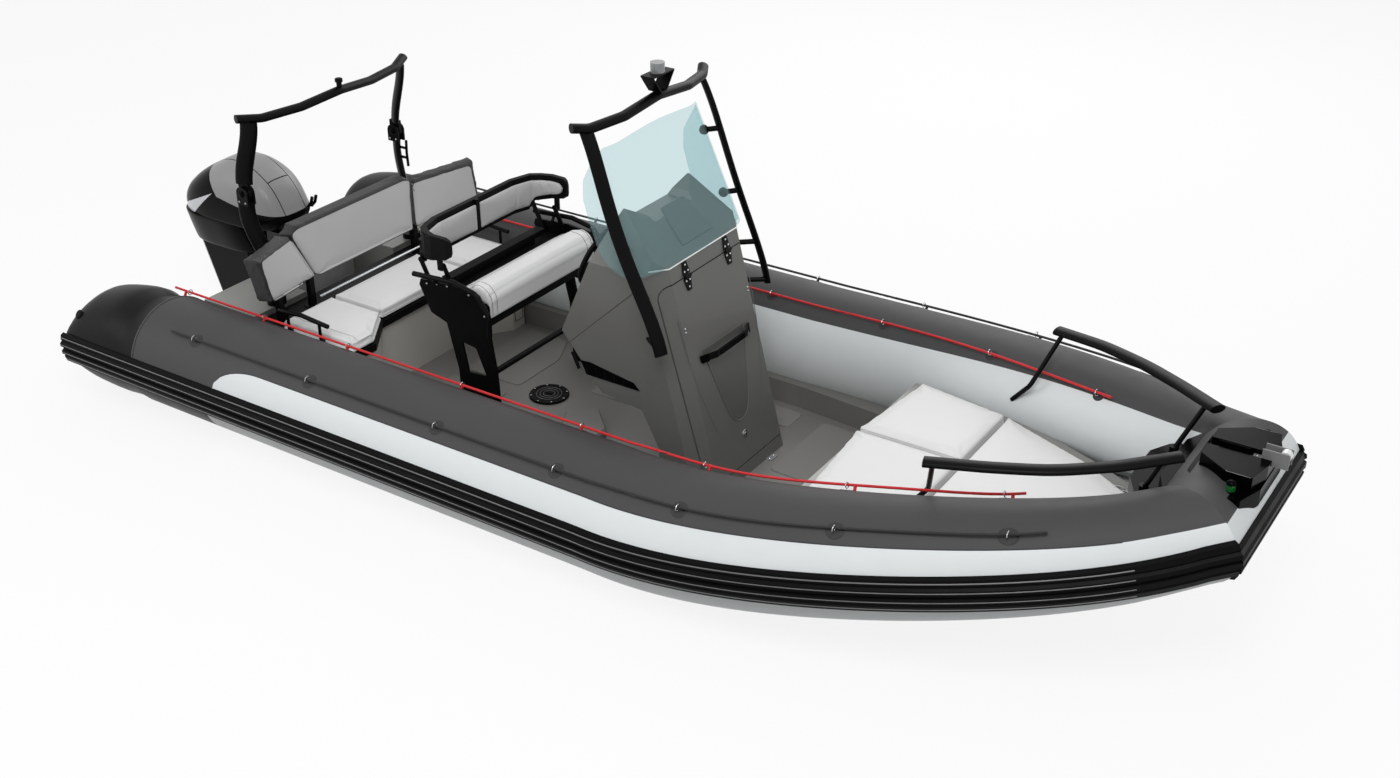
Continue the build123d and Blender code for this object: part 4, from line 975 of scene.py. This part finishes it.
def door_details():
    """The door's recess below the strap, its lock, bolts, mouldings and hinge bolts, and the strap's grip."""
    half = [(-0.364, 0.173), (-0.430, 0.160), (-0.560, 0.128), (-0.690, 0.095), (-0.766, 0.060)]
    recess = [(rise, y, 0) for rise, y in half] + [(-0.790, 0, 0)] + [(rise, -y, 0) for rise, y in half[::-1]]
    face = [on_door(rise, y, 0.0004) for rise, y, _ in curved(recess, 4)]
    # the recess is a thin raised plate in a darker grey than the door: painted shade standing for its depth
    make("door_recess", *slab(face, DOOR_OUT, 0.0012, 0.0006), CONSOLE_DEEP, "console_door")
    cords("door_recess_lip", [[p + DOOR_OUT * 0.0016 for p in face]], 0.0022, CONSOLE_GREY, "console_door",
          sides=8)
    barrel = on_door(LOCK_RISE, 0.0, 0.0003)
    make("door_lock", *join([disc(barrel, DOOR_OUT, 0.020, 0.004, bore=0.010),
                             disc(barrel, DOOR_OUT, 0.0095, 0.006, 20)]), STEEL, "console_door")
    keyway = [on_door(LOCK_RISE + rise, y, 0.0063) for y, rise in oblong(-0.0016, 0.0016, -0.007, 0.007)]
    make("door_lock_slot", *slab(keyway, DOOR_OUT, 0.0006, 0.0002), BLACK_PLASTIC, "console_door")
    places = [(on_door(rise, side * 0.267), DOOR_OUT) for side in SIDES for rise in (-0.222, -0.240)]
    bolt_heads("door_bolts", places, STEEL, "console_door", radius=0.0055)
    mould = [[on_door(-0.17 - 0.05 * k, side * (0.300 - 0.10 * (k / 12) ** 2), 0.0004) for k in range(13)]
             for side in SIDES]
    cords("door_mould_lines", mould, 0.0020, CONSOLE_GREY, "console_door", sides=8)
    # three bolts on each leaf of each hinge
    for body, way in (("boat", 1), ("console_door", -1)):
        places = [(on_door(way * rise, y + dy, 0.0053), DOOR_OUT) for y in (-HINGE_Y, HINGE_Y)
                  for rise, dy in ((0.022, -0.014), (0.022, 0.014), (0.052, 0.0))]
        bolt_heads("hinge_bolts_" + body, places, STEEL, body, radius=0.0055, height=0.002)
    grip = []
    for side in SIDES:
        a, b = on_door(STRAP_RISE, side * 0.206, 0.004), on_door(STRAP_RISE, side * 0.172, 0.023)
        normal = (b - a).cross(DOOR_UP).normalized()
        normal *= math.copysign(1, normal.dot(DOOR_OUT))
        reach = DOOR_UP * 0.019
        grip.append(slab([p + normal * 0.003 for p in (a + reach, a - reach, b - reach, b + reach)], normal,
                         0.003, 0.001))
    grip.append(slab([on_door(STRAP_RISE + rise, y, 0.0482) for rise, y in
                      oblong(-0.015, 0.015, -0.105, 0.105)], DOOR_OUT, 0.002, 0.001))
    make("door_strap_clamps", *join(grip), BLACK_GLOSS, "console_door")


def foot_plates():
    """Bolted plates at the foot of the console."""
    x, z = 0.612, DECK_Z + 0.0002
    plates, bolts = [], []
    for side in SIDES:
        y = side * 0.150
        plates.append(level_plate(oblong(x, x + 0.046, y - 0.030, y + 0.030), z, 0.003, 0.001))
        bolts += [((x + 0.028, y + dy, z + 0.003), UP) for dy in (-0.018, 0.018)]
    make("console_foot_plates", *join(plates), STEEL_DULL)
    bolt_heads("console_foot_bolts", bolts, STEEL, radius=0.005)


def dash():
    """Instruments, switches and a display on the sloping face above the wheel, and a lid on the top."""
    up, ahead = slope_frame(Vector((-0.200, 0, 0.744)), Vector((0.030, 0, 1.276)))
    out = -ahead
    base = Vector((-0.095, 0, 0.987))
    # height of what stands on the panel, of the dials, and the spacing of the switches
    front, dial_rise, spacing = 0.0034, 0.165, 0.034

    def at(rise, y, height=0.0):
        return base + up * rise + out * height + Vector((0, y, 0))

    def plate(y0, y1, z0, z1, height, radius, lift=front):
        corners = [at(z, y, lift) for y, z in oblong(y0, y1, z0, z1)]
        return slab(rounded(corners, radius), out, height, min(0.002, height * 0.5))
    make("dash_panel", *plate(-0.285, 0.300, -0.020, 0.262, 0.003, 0.03, 0.0004), BLACK_PLASTIC)
    make("dash_display_frame", *plate(0.045, 0.275, 0.075, 0.232, 0.016, 0.014), BLACK_PLASTIC)
    make("dash_display_glass", *plate(0.060, 0.260, 0.090, 0.217, 0.002, 0.006, 0.0194), BLACK_GLOSS)
    rims, dials, needles = [], [], []
    for y, turn in ((-0.045, 0.6), (-0.145, -0.5)):
        rims.append(disc(at(dial_rise, y, front), out, 0.043, 0.010, 32, bore=0.036))
        dials.append(disc(at(dial_rise, y, front), out, 0.0365, 0.007, 32, dome=0.002))
        hub = at(dial_rise, y, 0.0136)
        needles.append([hub, hub + (up * math.cos(turn) + Vector((0, math.sin(turn), 0))) * 0.028])
    make("dash_gauge_rims", *join(rims), STEEL)
    make("dash_gauge_faces", *join(dials), BLACK_GLOSS)
    cords("dash_needles", needles, 0.0009, ROPE_RED, sides=5)
    ys = [0.068 + k * spacing for k in range(6)]
    make("dash_switches", *join([plate(y, y + 0.024, 0.018, 0.056, 0.007, 0.004) for y in ys]), BLACK_GLOSS)
    make("dash_switch_lamps", *join([disc(at(0.049, y + 0.012, 0.0102), out, 0.0022, 0.0012, 10)
                                     for y in ys]), LAMP_RED)
    make("dash_key", *disc(at(0.030, -0.250, front), out, 0.013, 0.010, dome=0.001), STEEL)
    screws = [(at(z, y, front), out) for z in (-0.008, 0.250) for y in (-0.272, -0.09, 0.10, 0.288)]
    bolt_heads("dash_screws", screws, STEEL, radius=0.004, height=0.0015)
    # lid on the sloping top, under the screen
    low, high = Vector((0.300, 0, 1.1885)), Vector((0.150, 0, 1.3257))
    out = slope_frame(low, high)[1]
    lid = [p + Vector((0, y, 0)) + out * 0.0006 for p, y in
           ((low, -0.110), (low, 0.150), (high, 0.110), (high, -0.070))]
    make("console_lid", *slab(rounded(lid, 0.012), out, 0.006, 0.003), CONSOLE_DEEP)


# ---------------------------------------------------------------- deck
def floor_panels():
    """Raised non-slip panels of the sole, the moulding beside the console, and the round hatch."""
    panels = [
        (SIDES, [(0.690, 0.045), (1.085, 0.045), (1.085, 0.560), (0.690, 0.585)]),
        (SIDES, [(-0.050, 0.440), (0.560, 0.440), (0.560, 0.600), (-0.050, 0.610)]),
        ((1,), [(-0.500, 0.200), (-0.230, 0.200), (-0.230, 0.420), (-0.500, 0.420)]),
        (SIDES, [(-1.215, 0.045), (-0.850, 0.045), (-0.850, 0.395), (-0.950, 0.600), (-1.215, 0.600)]),
    ]
    parts = [level_plate([(x, y * side) for x, y in panel], DECK_Z, 0.004, 0.0025, 0.035)
             for sides, panel in panels for side in sides]
    make("sole_panels", *join(parts), NON_SLIP)
    block = [(-0.450, -0.060), (-0.319, 0.035), (-0.150, -0.120), (-0.150, -0.360), (-0.300, -0.360)]
    make("sole_moulding", *level_plate(block, DECK_Z, 0.045, 0.014, 0.03), SOLE_GREY)
    x, y, z = -0.655, 0.055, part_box("deck_hatch")[1].z

    def ring(radius, count):
        return [(x + radius * math.cos(a), y + radius * math.sin(a), z + 0.0036) for a in circle(count)]
    make("hatch_lid", *join([disc((x, y, z), UP, 0.103, 0.004, 48, bore=0.084),
                             disc((x, y, z), UP, 0.080, 0.0035, 48)]), BLACK_PLASTIC)
    cords("hatch_ridges", [ring(r, 48) for r in (0.030, 0.048, 0.066)], 0.0012, GREY_PLASTIC, sides=6,
          closed=True)
    bolt_heads("hatch_screws", [(p, UP) for p in ring(0.094, 8)], STEEL, radius=0.0045, height=0.0015)
    make("hatch_grip", *level_plate(oblong(x - 0.020, x + 0.020, y - 0.004, y + 0.004), z + 0.0035, 0.005,
                                    0.0015), BLACK_GLOSS)


# ---------------------------------------------------------------- seats
def seat_details():
    """Bolts of the helm seat and its arms, ribs on its back, and the fittings of the bench."""
    bolts = [((x, 0.4562, z), (0, 1, 0)) for x, z in
             ((-0.965, 0.815), (-0.900, 0.828), (-0.835, 0.832), (-0.700, 0.820), (-0.610, 0.730))]
    bolts += [((x, 0.480, 0.0585), UP) for x in (-0.770, -0.550)]
    bolt_heads("seat_plate_bolts", on_both(bolts), STEEL_DULL, radius=0.006, height=0.003)
    for name, x in (("front", -0.800), ("rear", -0.945)):
        caps = [((x, 0.4305, 0.790), (0, -1, 0)), ((x - 0.065, 0.4305, 0.925), (0, -1, 0))]
        bolt_heads(name + "_arm_caps", on_both(caps), BLACK_GLOSS, name + "_seat_arms", radius=0.010,
                   height=0.003)
    ribs = [[(-1.0458, y, z) for y in (-0.285, -0.1, 0.1, 0.285)] for z in (0.985, 1.030)]
    cords("helm_back_ribs", ribs, 0.003, BLACK_GLOSS, "helm_backrest", sides=8)
    # bench: bolted plates at the posts, latch bar, and the lid seams at the locker's front corners
    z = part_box("bench_back_posts")[0].z
    ys = (-0.620, -0.400, 0.400, 0.620)
    plates = [level_plate(oblong(-1.885, -1.800, y - 0.034, y + 0.034), z, 0.005, 0.001, 0.012) for y in ys]
    heads = [((-1.812, y + dy, z + 0.005), UP) for y in ys for dy in (-0.022, 0.022)]
    make("bench_post_plates", *join(plates), BLACK_PAINT)
    bolt_heads("bench_post_bolts", heads, STEEL, radius=0.0065)
    cords("bench_latch_bar", [[(-1.802, -0.385, 0.497), (-1.802, 0.385, 0.497)]], 0.008, STEEL, sides=14)
    seam = closed([(-1.2835, y, z) for y, z in oblong(0.560, 0.628, 0.100, 0.340)])
    cords("bench_locker_seams", mirrored([seam]), 0.002, CONSOLE_SEAM, sides=6)


# ---------------------------------------------------------------- bow
def bow_details():
    """Links on the locker, caps of the side lights, painted highlights along the bow step's edges, and bolts
    on the bow step.
    """
    links = []
    for k, (x, y) in enumerate(((2.318, 0.236), (2.340, 0.226), (2.362, 0.214))):
        ring = [(0.017 * math.cos(a), 0.011 * math.sin(a)) for a in circle(16)]
        links.append([(x + dx, y, 0.415 + dy) if k % 2 else (x + dx, y + dy, 0.412) for dx, dy in ring])
    cords("bow_links", mirrored(links), 0.003, STEEL, sides=8, closed=True)
    caps = []
    for side, light in ((1, "port_nav_light"), (-1, "starboard_nav_light")):
        low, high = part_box(light)
        caps.append(disc((2.891, side * 0.227, high.z - 0.010), UP, 0.0205, 0.013, 28, dome=0.004))
        caps.append(disc((2.891, side * 0.227, low.z), UP, 0.0215, 0.008, 28))
    make("nav_light_caps", *join(caps), BLACK_GLOSS)
    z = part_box("bow_step")[1].z
    # grey cords along the step's edges: painted highlights on its black bevels
    outer = [(x, y, z - 0.0012) for x, y in ((2.735, 0.052), (2.735, 0.112), (2.858, 0.196), (2.950, 0.196))]
    inner = [(x, 0.034, z - 0.0012) for x in (2.735, 2.85, 2.965)]
    cords("bow_step_edge_highlights", mirrored([outer, inner]), 0.0012, GREY_PLASTIC, sides=6)
    places = [((x, side * 0.016, z - 0.0197), UP) for x in (2.915, 2.945) for side in SIDES]
    bolt_heads("roller_frame_bolts", places, STEEL, radius=0.005, height=0.002)


# ---------------------------------------------------------------- windscreen and arch
def hoop_details():
    """Clamps of the screen, caps, bolts and feet of the arch, and the cleat on its port leg."""
    clamps = []
    for x, z in ((0.082, 1.545), (0.192, 1.253)):
        for side in SIDES:
            clamps.append(disc((x, side * 0.4023, z), (0, side, 0), 0.024, 0.012))
            clamps.append(disc((x, side * 0.3957, z), (0, -side, 0), 0.020, 0.006, dome=0.002))
    make("screen_clamps", *join(clamps), BLACK_PLASTIC)
    # the knee where the hoop folds: its pin, and the faces of its plates
    pin = Vector((-2.060, 0.556, 1.080))
    faces = [(pin + Vector((0, face * 0.027, 0)), Vector((0, face, 0))) for face in SIDES]
    make("arch_knee_caps", *join([disc(p, n, 0.017, 0.006, dome=0.002) for p, n in on_both(faces)]),
         BLACK_GLOSS)
    bolts = [(p + Vector((dx, 0, -0.045)), n) for dx in (-0.022, 0.022) for p, n in faces]
    bolt_heads("arch_knee_bolts", on_both(bolts), STEEL_DULL, radius=0.006)
    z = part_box("arch_base")[0].z + 0.0295
    turns = [math.pi / 4 + a for a in circle(4)]
    feet = [((-1.980 + 0.043 * math.cos(a), side * 0.520 + 0.043 * math.sin(a), z), UP)
            for side in SIDES for a in turns]
    bolt_heads("arch_foot_bolts", feet, STEEL, radius=0.005)
    x, y = -1.990, 0.552
    bars = [[(x + 0.004 * abs(t), y, 0.958 + 0.075 * t) for t in (-1, -0.9, -0.5, 0, 0.5, 0.9, 1)]]
    bars += [[(-2.030, y, z), (x, y, z)] for z in (0.930, 0.986)]
    cords("arch_cleat", bars, 0.0075, BLACK_PAINT, sides=12)


def stern_details():
    """Valve caps on the stern cones."""
    centre = Vector((-2.690, TUBE_PATH[0].y, TUBE_PATH[0].z))
    way = Vector((-0.25, math.cos(math.radians(38)), math.sin(math.radians(38)))).normalized()
    hit = tube_tree.ray_cast(centre, way, 0.6)[0]
    caps = [disc(p - n * 0.001, n, 0.026, 0.009, 28, dome=0.003) for p, n in on_both([(hit, way)])]
    make("cone_valves", *join(caps), BLACK_PLASTIC)


# ---------------------------------------------------------------- outboard
# plans of the cowl and its apron, upwards: height, front, aft and half-width
COWL_ROWS = [
    (0.6405, -2.362, -3.104, 0.192), (0.648, -2.345, -3.109, 0.197), (0.700, -2.317, -3.104, 0.201),
    (0.745, -2.334, -3.082, 0.200), (0.785, -2.354, -3.050, 0.196), (0.822, -2.376, -3.008, 0.190),
    (0.857, -2.402, -2.962, 0.180), (0.888, -2.433, -2.914, 0.166), (0.916, -2.470, -2.864, 0.148),
    (0.940, -2.508, -2.818, 0.127), (0.960, -2.546, -2.778, 0.103), (0.974, -2.584, -2.744, 0.076),
    (0.982, -2.625, -2.705, 0.040),
]
APRON_ROWS = [(0.4408, -2.592, -3.098, 0.126), (0.452, -2.590, -3.103, 0.135), (0.540, -2.587, -3.106, 0.166),
              (0.628, -2.586, -3.109, 0.192), (0.6392, -2.590, -3.106, 0.189)]
# how square a plan is in front, aft and at the sides; 2 would be an ellipse
FRONT_POWER, AFT_POWER, SIDE_POWER = 3.8, 2.6, 2.9
COWL_SIDES, COWL_STEPS = 96, 4
PANEL_GAP = 0.0025
PANEL_LINE = 0.075
CROSS_LINE = -2.440
PATCH_LINE = -2.765
PATCH_SIDE = 0.085


def lofted(rows):
    """A closed casing through rounded plans, with rows added between the given ones."""
    tall = curved([row[1:] for row in rows], COWL_STEPS)
    heights = curved([(row[0], 0, 0) for row in rows], COWL_STEPS)
    rings = []
    for (front, aft, half), (z, _, _) in zip(tall, heights):
        middle = aft + (front - aft) * 0.45
        ring = []
        for a in circle(COWL_SIDES):
            c, s = math.cos(a), math.sin(a)
            reach, power = (front - middle, FRONT_POWER) if c > 0 else (middle - aft, AFT_POWER)
            x = middle + math.copysign(abs(c) ** (2 / power), c) * reach
            ring.append(Vector((x, math.copysign(abs(s) ** (2 / SIDE_POWER), s) * half, z)))
        rings.append(ring)
    return skin(rings, ends=True)


def cowl():
    """The casing, with grey panels, the dark gaps between them and a light patch at each aft corner."""
    mesh = to_bmesh(*lofted(COWL_ROWS))
    # every edge of a panel lies in a plane, and the casing is cut along each of these planes
    low_edge = (Vector((-2.530, 0, 0.756)), Vector((0.16, 0, 1)))
    aft_edge = (Vector((-2.740, 0, 0.800)), Vector((1, 0, 0.77)))
    corner = Vector((PATCH_LINE, 0, 0.800))
    patch_low, patch_high = (corner, Vector((-0.85, 0, 1))), (corner, Vector((-0.45, 0, 1)))
    gaps = [(Vector((0, y + gap, 0)), Vector((0, 1, 0))) for y in (PANEL_LINE, -PANEL_LINE)
            for gap in (PANEL_GAP, -PANEL_GAP)]
    gaps += [(Vector((CROSS_LINE + gap, 0, 0)), AHEAD) for gap in (PANEL_GAP, -PANEL_GAP)]
    for point, normal in [low_edge, aft_edge] + gaps + [patch_low, patch_high]:
        slice_mesh(mesh, point, normal)

    def beyond(p, plane):
        return (p - plane[0]).dot(plane[1]) > 0
    mesh.normal_update()
    for f in mesh.faces:
        p = f.calc_center_median()
        in_gap = abs(abs(p.y) - PANEL_LINE) < PANEL_GAP
        in_gap = in_gap or (abs(p.y) < PANEL_LINE and abs(p.x - CROSS_LINE) < PANEL_GAP)
        if beyond(p, low_edge) and beyond(p, aft_edge):
            f.material_index = 0 if in_gap else 1
        elif abs(p.y) > PATCH_SIDE and p.x < PATCH_LINE:
            f.material_index = 2 if beyond(p, patch_low) and not beyond(p, patch_high) else 0
        f.smooth = True
    obj = make("cowl_shell", [], [], [COWL_BLACK, COWL_GREY, COWL_LIGHT], "outboard", smooth=0)
    mesh.to_mesh(obj.data)
    mesh.free()
    obj.data.set_sharp_from_angle(angle=math.radians(50))
    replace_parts(obj, "engine_cowl")
    apron = make("cowl_apron", *lofted(APRON_ROWS), COWL_BLACK, "outboard", smooth=50)
    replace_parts(apron, "lower_cowl")
    prongs = [[(-2.352, y, 0.705), (-2.322, y, 0.735), (-2.308, y, 0.775)] for y in (0.110, 0.140)]
    cords("cowl_catches", prongs, 0.009, BLACK_PLASTIC, "outboard", sides=12)


# ---------------------------------------------------------------- propeller
# distance aft of the hub's forward face and radius, round the hub's section
HUB_ROWS = [(0.0, 0.014), (0.0, 0.040), (0.004, 0.044), (0.060, 0.0435), (0.096, 0.041), (0.108, 0.0445),
            (0.110, 0.043), (0.102, 0.038), (0.050, 0.037), (0.046, 0.024), (0.078, 0.022), (0.078, 0.014)]
HUB_SIDES = 48
PROP_Z = -0.400
BLADES = 3
BLADE_STEPS = 12
BLADE_ROOT, BLADE_TIP = 0.040, 0.163
# where a blade stands on the hub, its half-angle, its sweep, and how it winds and leans aft
BLADE_AFT = 0.052
BLADE_HALF = math.radians(50)
BLADE_SKEW = math.radians(12)
BLADE_PITCH = 0.060
BLADE_RAKE = 0.018


def propeller():
    """Three raked, twisted blades on a hub that is open at its end, with a nut on the shaft."""
    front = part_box("propeller")[1].x

    def spin(aft, radius, turn):
        return Vector((front - aft, radius * math.sin(turn), PROP_Z + radius * math.cos(turn)))

    parts = [skin([[spin(aft, r, turn) for turn in circle(HUB_SIDES)] for aft, r in HUB_ROWS], along=True)]
    for place in circle(BLADES):
        rings = []
        for i in range(BLADE_STEPS + 1):
            t = math.sin(math.pi / 2 * i / BLADE_STEPS)
            half = BLADE_HALF * math.sqrt(1 - ((t - 0.45) / 0.551) ** 2)
            radius = BLADE_ROOT + (BLADE_TIP - BLADE_ROOT) * t
            ring = []
            for side in SIDES:
                for j in range(BLADE_STEPS + 1):
                    u = side * (2 * j / BLADE_STEPS - 1)
                    thick = side * (0.0005 + 0.0032 * (1 - 0.6 * t) * (1 - u * u))
                    aft = BLADE_AFT + BLADE_PITCH * half * u + BLADE_RAKE * t + thick
                    ring.append(spin(aft, radius, place + half * u + BLADE_SKEW * t * t))
            rings.append(ring)
        parts.append(skin(rings, ends=True))
    parts.append(disc(spin(0.080, 0, 0), -AHEAD, 0.020, 0.010, sides=6, bore=0.0135))
    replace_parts(make("propeller_blades", *join(parts), STEEL_DULL, "propeller", smooth=40), "propeller")


# ---------------------------------------------------------------- clear screen
SCREEN_FRONT = 0.3485
SCREEN_FOOT = 1.1515
SCREEN_LEAN = 0.465
SCREEN_SIDE = 0.4015
SCREEN_THICK = 0.005
SCREEN_HALF, SCREEN_ROWS = 40, 30
# aft edge of a wing: height and x, from its lower corner to where it meets the top edge
WING_EDGE = [(1.113, 0.174), (1.136, 0.108), (1.196, 0.050), (1.330, 0.000), (1.440, -0.032), (1.530, -0.030),
             (1.620, 0.016), (1.690, 0.060)]


def screen_plan(z, inset):
    """Half of the sheet's plan at a height, from its aft edge to the middle, and the length to each point."""
    front = SCREEN_FRONT - (z - 1.150) * SCREEN_LEAN - inset
    side = SCREEN_SIDE - inset
    aft = between(WING_EDGE, z)
    a, b, c = [Vector(p) for p in
               ((front - 0.087, side), (front - 0.028, side - 0.004), (front - 0.009, 0.280))]
    run = [(-0.200, side)]
    run += [a * (1 - t) ** 2 + b * (2 * t * (1 - t)) + c * t * t for t in [k / 24 for k in range(25)]]
    run += [(front - 0.003, 0.150), (front, 0.0)]
    points = []
    for (x0, y0), (x1, y1) in zip(run, run[1:]):
        if x0 < aft <= x1:
            points.append((aft, y0 + (y1 - y0) * (aft - x0) / (x1 - x0)))
        if x1 > aft:
            points.append((x1, y1))
    lengths = [0.0]
    for a, b in zip(points, points[1:]):
        lengths.append(lengths[-1] + math.dist(a, b))
    return points, lengths


def point_along(points, lengths, share):
    """The point a share of the way along a measured line."""
    goal = share * lengths[-1]
    for i in range(1, len(points)):
        if lengths[i] >= goal:
            break
    t = (goal - lengths[i - 1]) / max(1e-9, lengths[i] - lengths[i - 1])
    return [points[i - 1][j] + (points[i][j] - points[i - 1][j]) * t for j in (0, 1)]


def clear_screen():
    """One bent sheet: its foot follows the console's front edge, and its wings wrap the sides."""
    rows = []
    for inset in (0.0, SCREEN_THICK):
        for j in range(SCREEN_ROWS + 1):
            row = []
            for k in range(-SCREEN_HALF, SCREEN_HALF + 1):
                u = 1 - abs(k) / SCREEN_HALF
                rise = min(1.0, max(0.0, (u - 0.10) / 0.32))
                foot = WING_EDGE[0][0] + (SCREEN_FOOT - WING_EDGE[0][0]) * rise * rise * (3 - 2 * rise)
                top = WING_EDGE[-1][0] + 0.022 * math.sin(u * math.pi / 2)
                z = foot + (top - foot) * j / SCREEN_ROWS
                x, y = point_along(*screen_plan(z, inset), u)
                row.append(Vector((x, -y if k < 0 else y, z)))
            rows.append(row)
    wide = len(rows[0])
    layer = wide * (SCREEN_ROWS + 1)
    outer = skin(rows[:SCREEN_ROWS + 1], around=False)[1]
    faces = outer + [tuple(layer + i for i in face[::-1]) for face in outer]
    rim = list(range(wide)) + [(j + 1) * wide - 1 for j in range(1, SCREEN_ROWS + 1)]
    rim += [SCREEN_ROWS * wide + k for k in range(wide - 2, -1, -1)]
    rim += [j * wide for j in range(SCREEN_ROWS - 1, 0, -1)]
    faces += [(a, layer + a, layer + b, b) for a, b in zip(rim, rim[1:] + rim[:1])]
    obj = make("screen_sheet", [p for row in rows for p in row], faces, SCREEN, smooth=40)
    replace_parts(obj, "windscreen")


propeller()
clear_screen()
console_sides()
door_details()
foot_plates()
dash()
floor_panels()
seat_details()
bow_details()
hoop_details()
cowl()
stern_details()

# ---------------------------------------------------------------- camera, light and floor
WORLD_LIGHT = 0.55
FLOOR_WHITE = 0.86
FLOOR_REACH = 30.0
CAMERA_PLACE = (4.077, -5.739, 4.180)
CAMERA_TURN = (61.175, 0.066, 33.161)
CAMERA_LENS = 41.885
WHITE = (1, 1, 1, 1)


def seen_or_mirrored(tree):
    """One for rays from the camera, a mirror or through glass; nothing for rays that carry light."""
    path = tree.nodes.new("ShaderNodeLightPath")
    total = path.outputs["Is Camera Ray"]
    for other in ("Is Glossy Ray", "Is Transmission Ray"):
        total = add(tree, "Math", {0: total, 1: path.outputs[other]}, operation="MAXIMUM")
    return total


def placed(name, data):
    obj = bpy.data.objects.new(name, data)
    bpy.context.collection.objects.link(obj)
    return obj


def lamp(name, place, aim, size, power):
    data = bpy.data.lights.new(name, "AREA")
    data.energy = power
    data.size = size
    obj = placed(name, data)
    obj.location = place
    obj.rotation_euler = (Vector(aim) - Vector(place)).to_track_quat("-Z", "Y").to_euler()


def sky():
    world = bpy.data.worlds.new("studio")
    bpy.context.scene.world = world
    world.use_nodes = True
    tree = world.node_tree
    level = add(tree, "MapRange", {"To Min": WORLD_LIGHT, "To Max": 1.0, "Value": seen_or_mirrored(tree)},
                "Result")
    feed(tree, tree.nodes["Background"], {"Color": WHITE, "Strength": level})


def floor():
    mat = bpy.data.materials.new("floor")
    mat.use_nodes = True
    tree = mat.node_tree
    shader = tree.nodes["Principled BSDF"]
    feed(tree, shader, {"Base Color": (0.86, 0.86, 0.86, 1), "Roughness": 0.9})
    share = add(tree, "Math", {0: seen_or_mirrored(tree), 1: FLOOR_WHITE}, operation="MULTIPLY")
    white = add(tree, "Emission", {"Color": WHITE})
    mix = add(tree, "MixShader", {0: share, 1: shader.outputs[0], 2: white})
    feed(tree, tree.nodes["Material Output"], {"Surface": mix})
    mesh = bpy.data.meshes.new("floor")
    mesh.from_pydata([(x, y, 0) for x, y in oblong(-FLOOR_REACH, FLOOR_REACH, -FLOOR_REACH, FLOOR_REACH)], [],
                     [(0, 1, 2, 3)])
    mesh.materials.append(mat)
    placed("floor", mesh)


sky()
lamp("key", (3.0, -4.5, 7.5), (0, 0, 0.4), 3.5, 300)
lamp("fill", (-6.0, -6.0, 5.0), (-0.5, 0, 0.5), 4.0, 150)
lamp("back", (-1.0, 7.0, 5.0), (0, 0, 0.5), 5.0, 180)
floor()
camera = placed("camera", bpy.data.cameras.new("camera"))
camera.location = CAMERA_PLACE
camera.rotation_euler = [math.radians(a) for a in CAMERA_TURN]
camera.data.lens = CAMERA_LENS
camera.data.sensor_width = 36
bpy.context.scene.camera = camera
bpy.context.scene.view_settings.view_transform = "Standard"
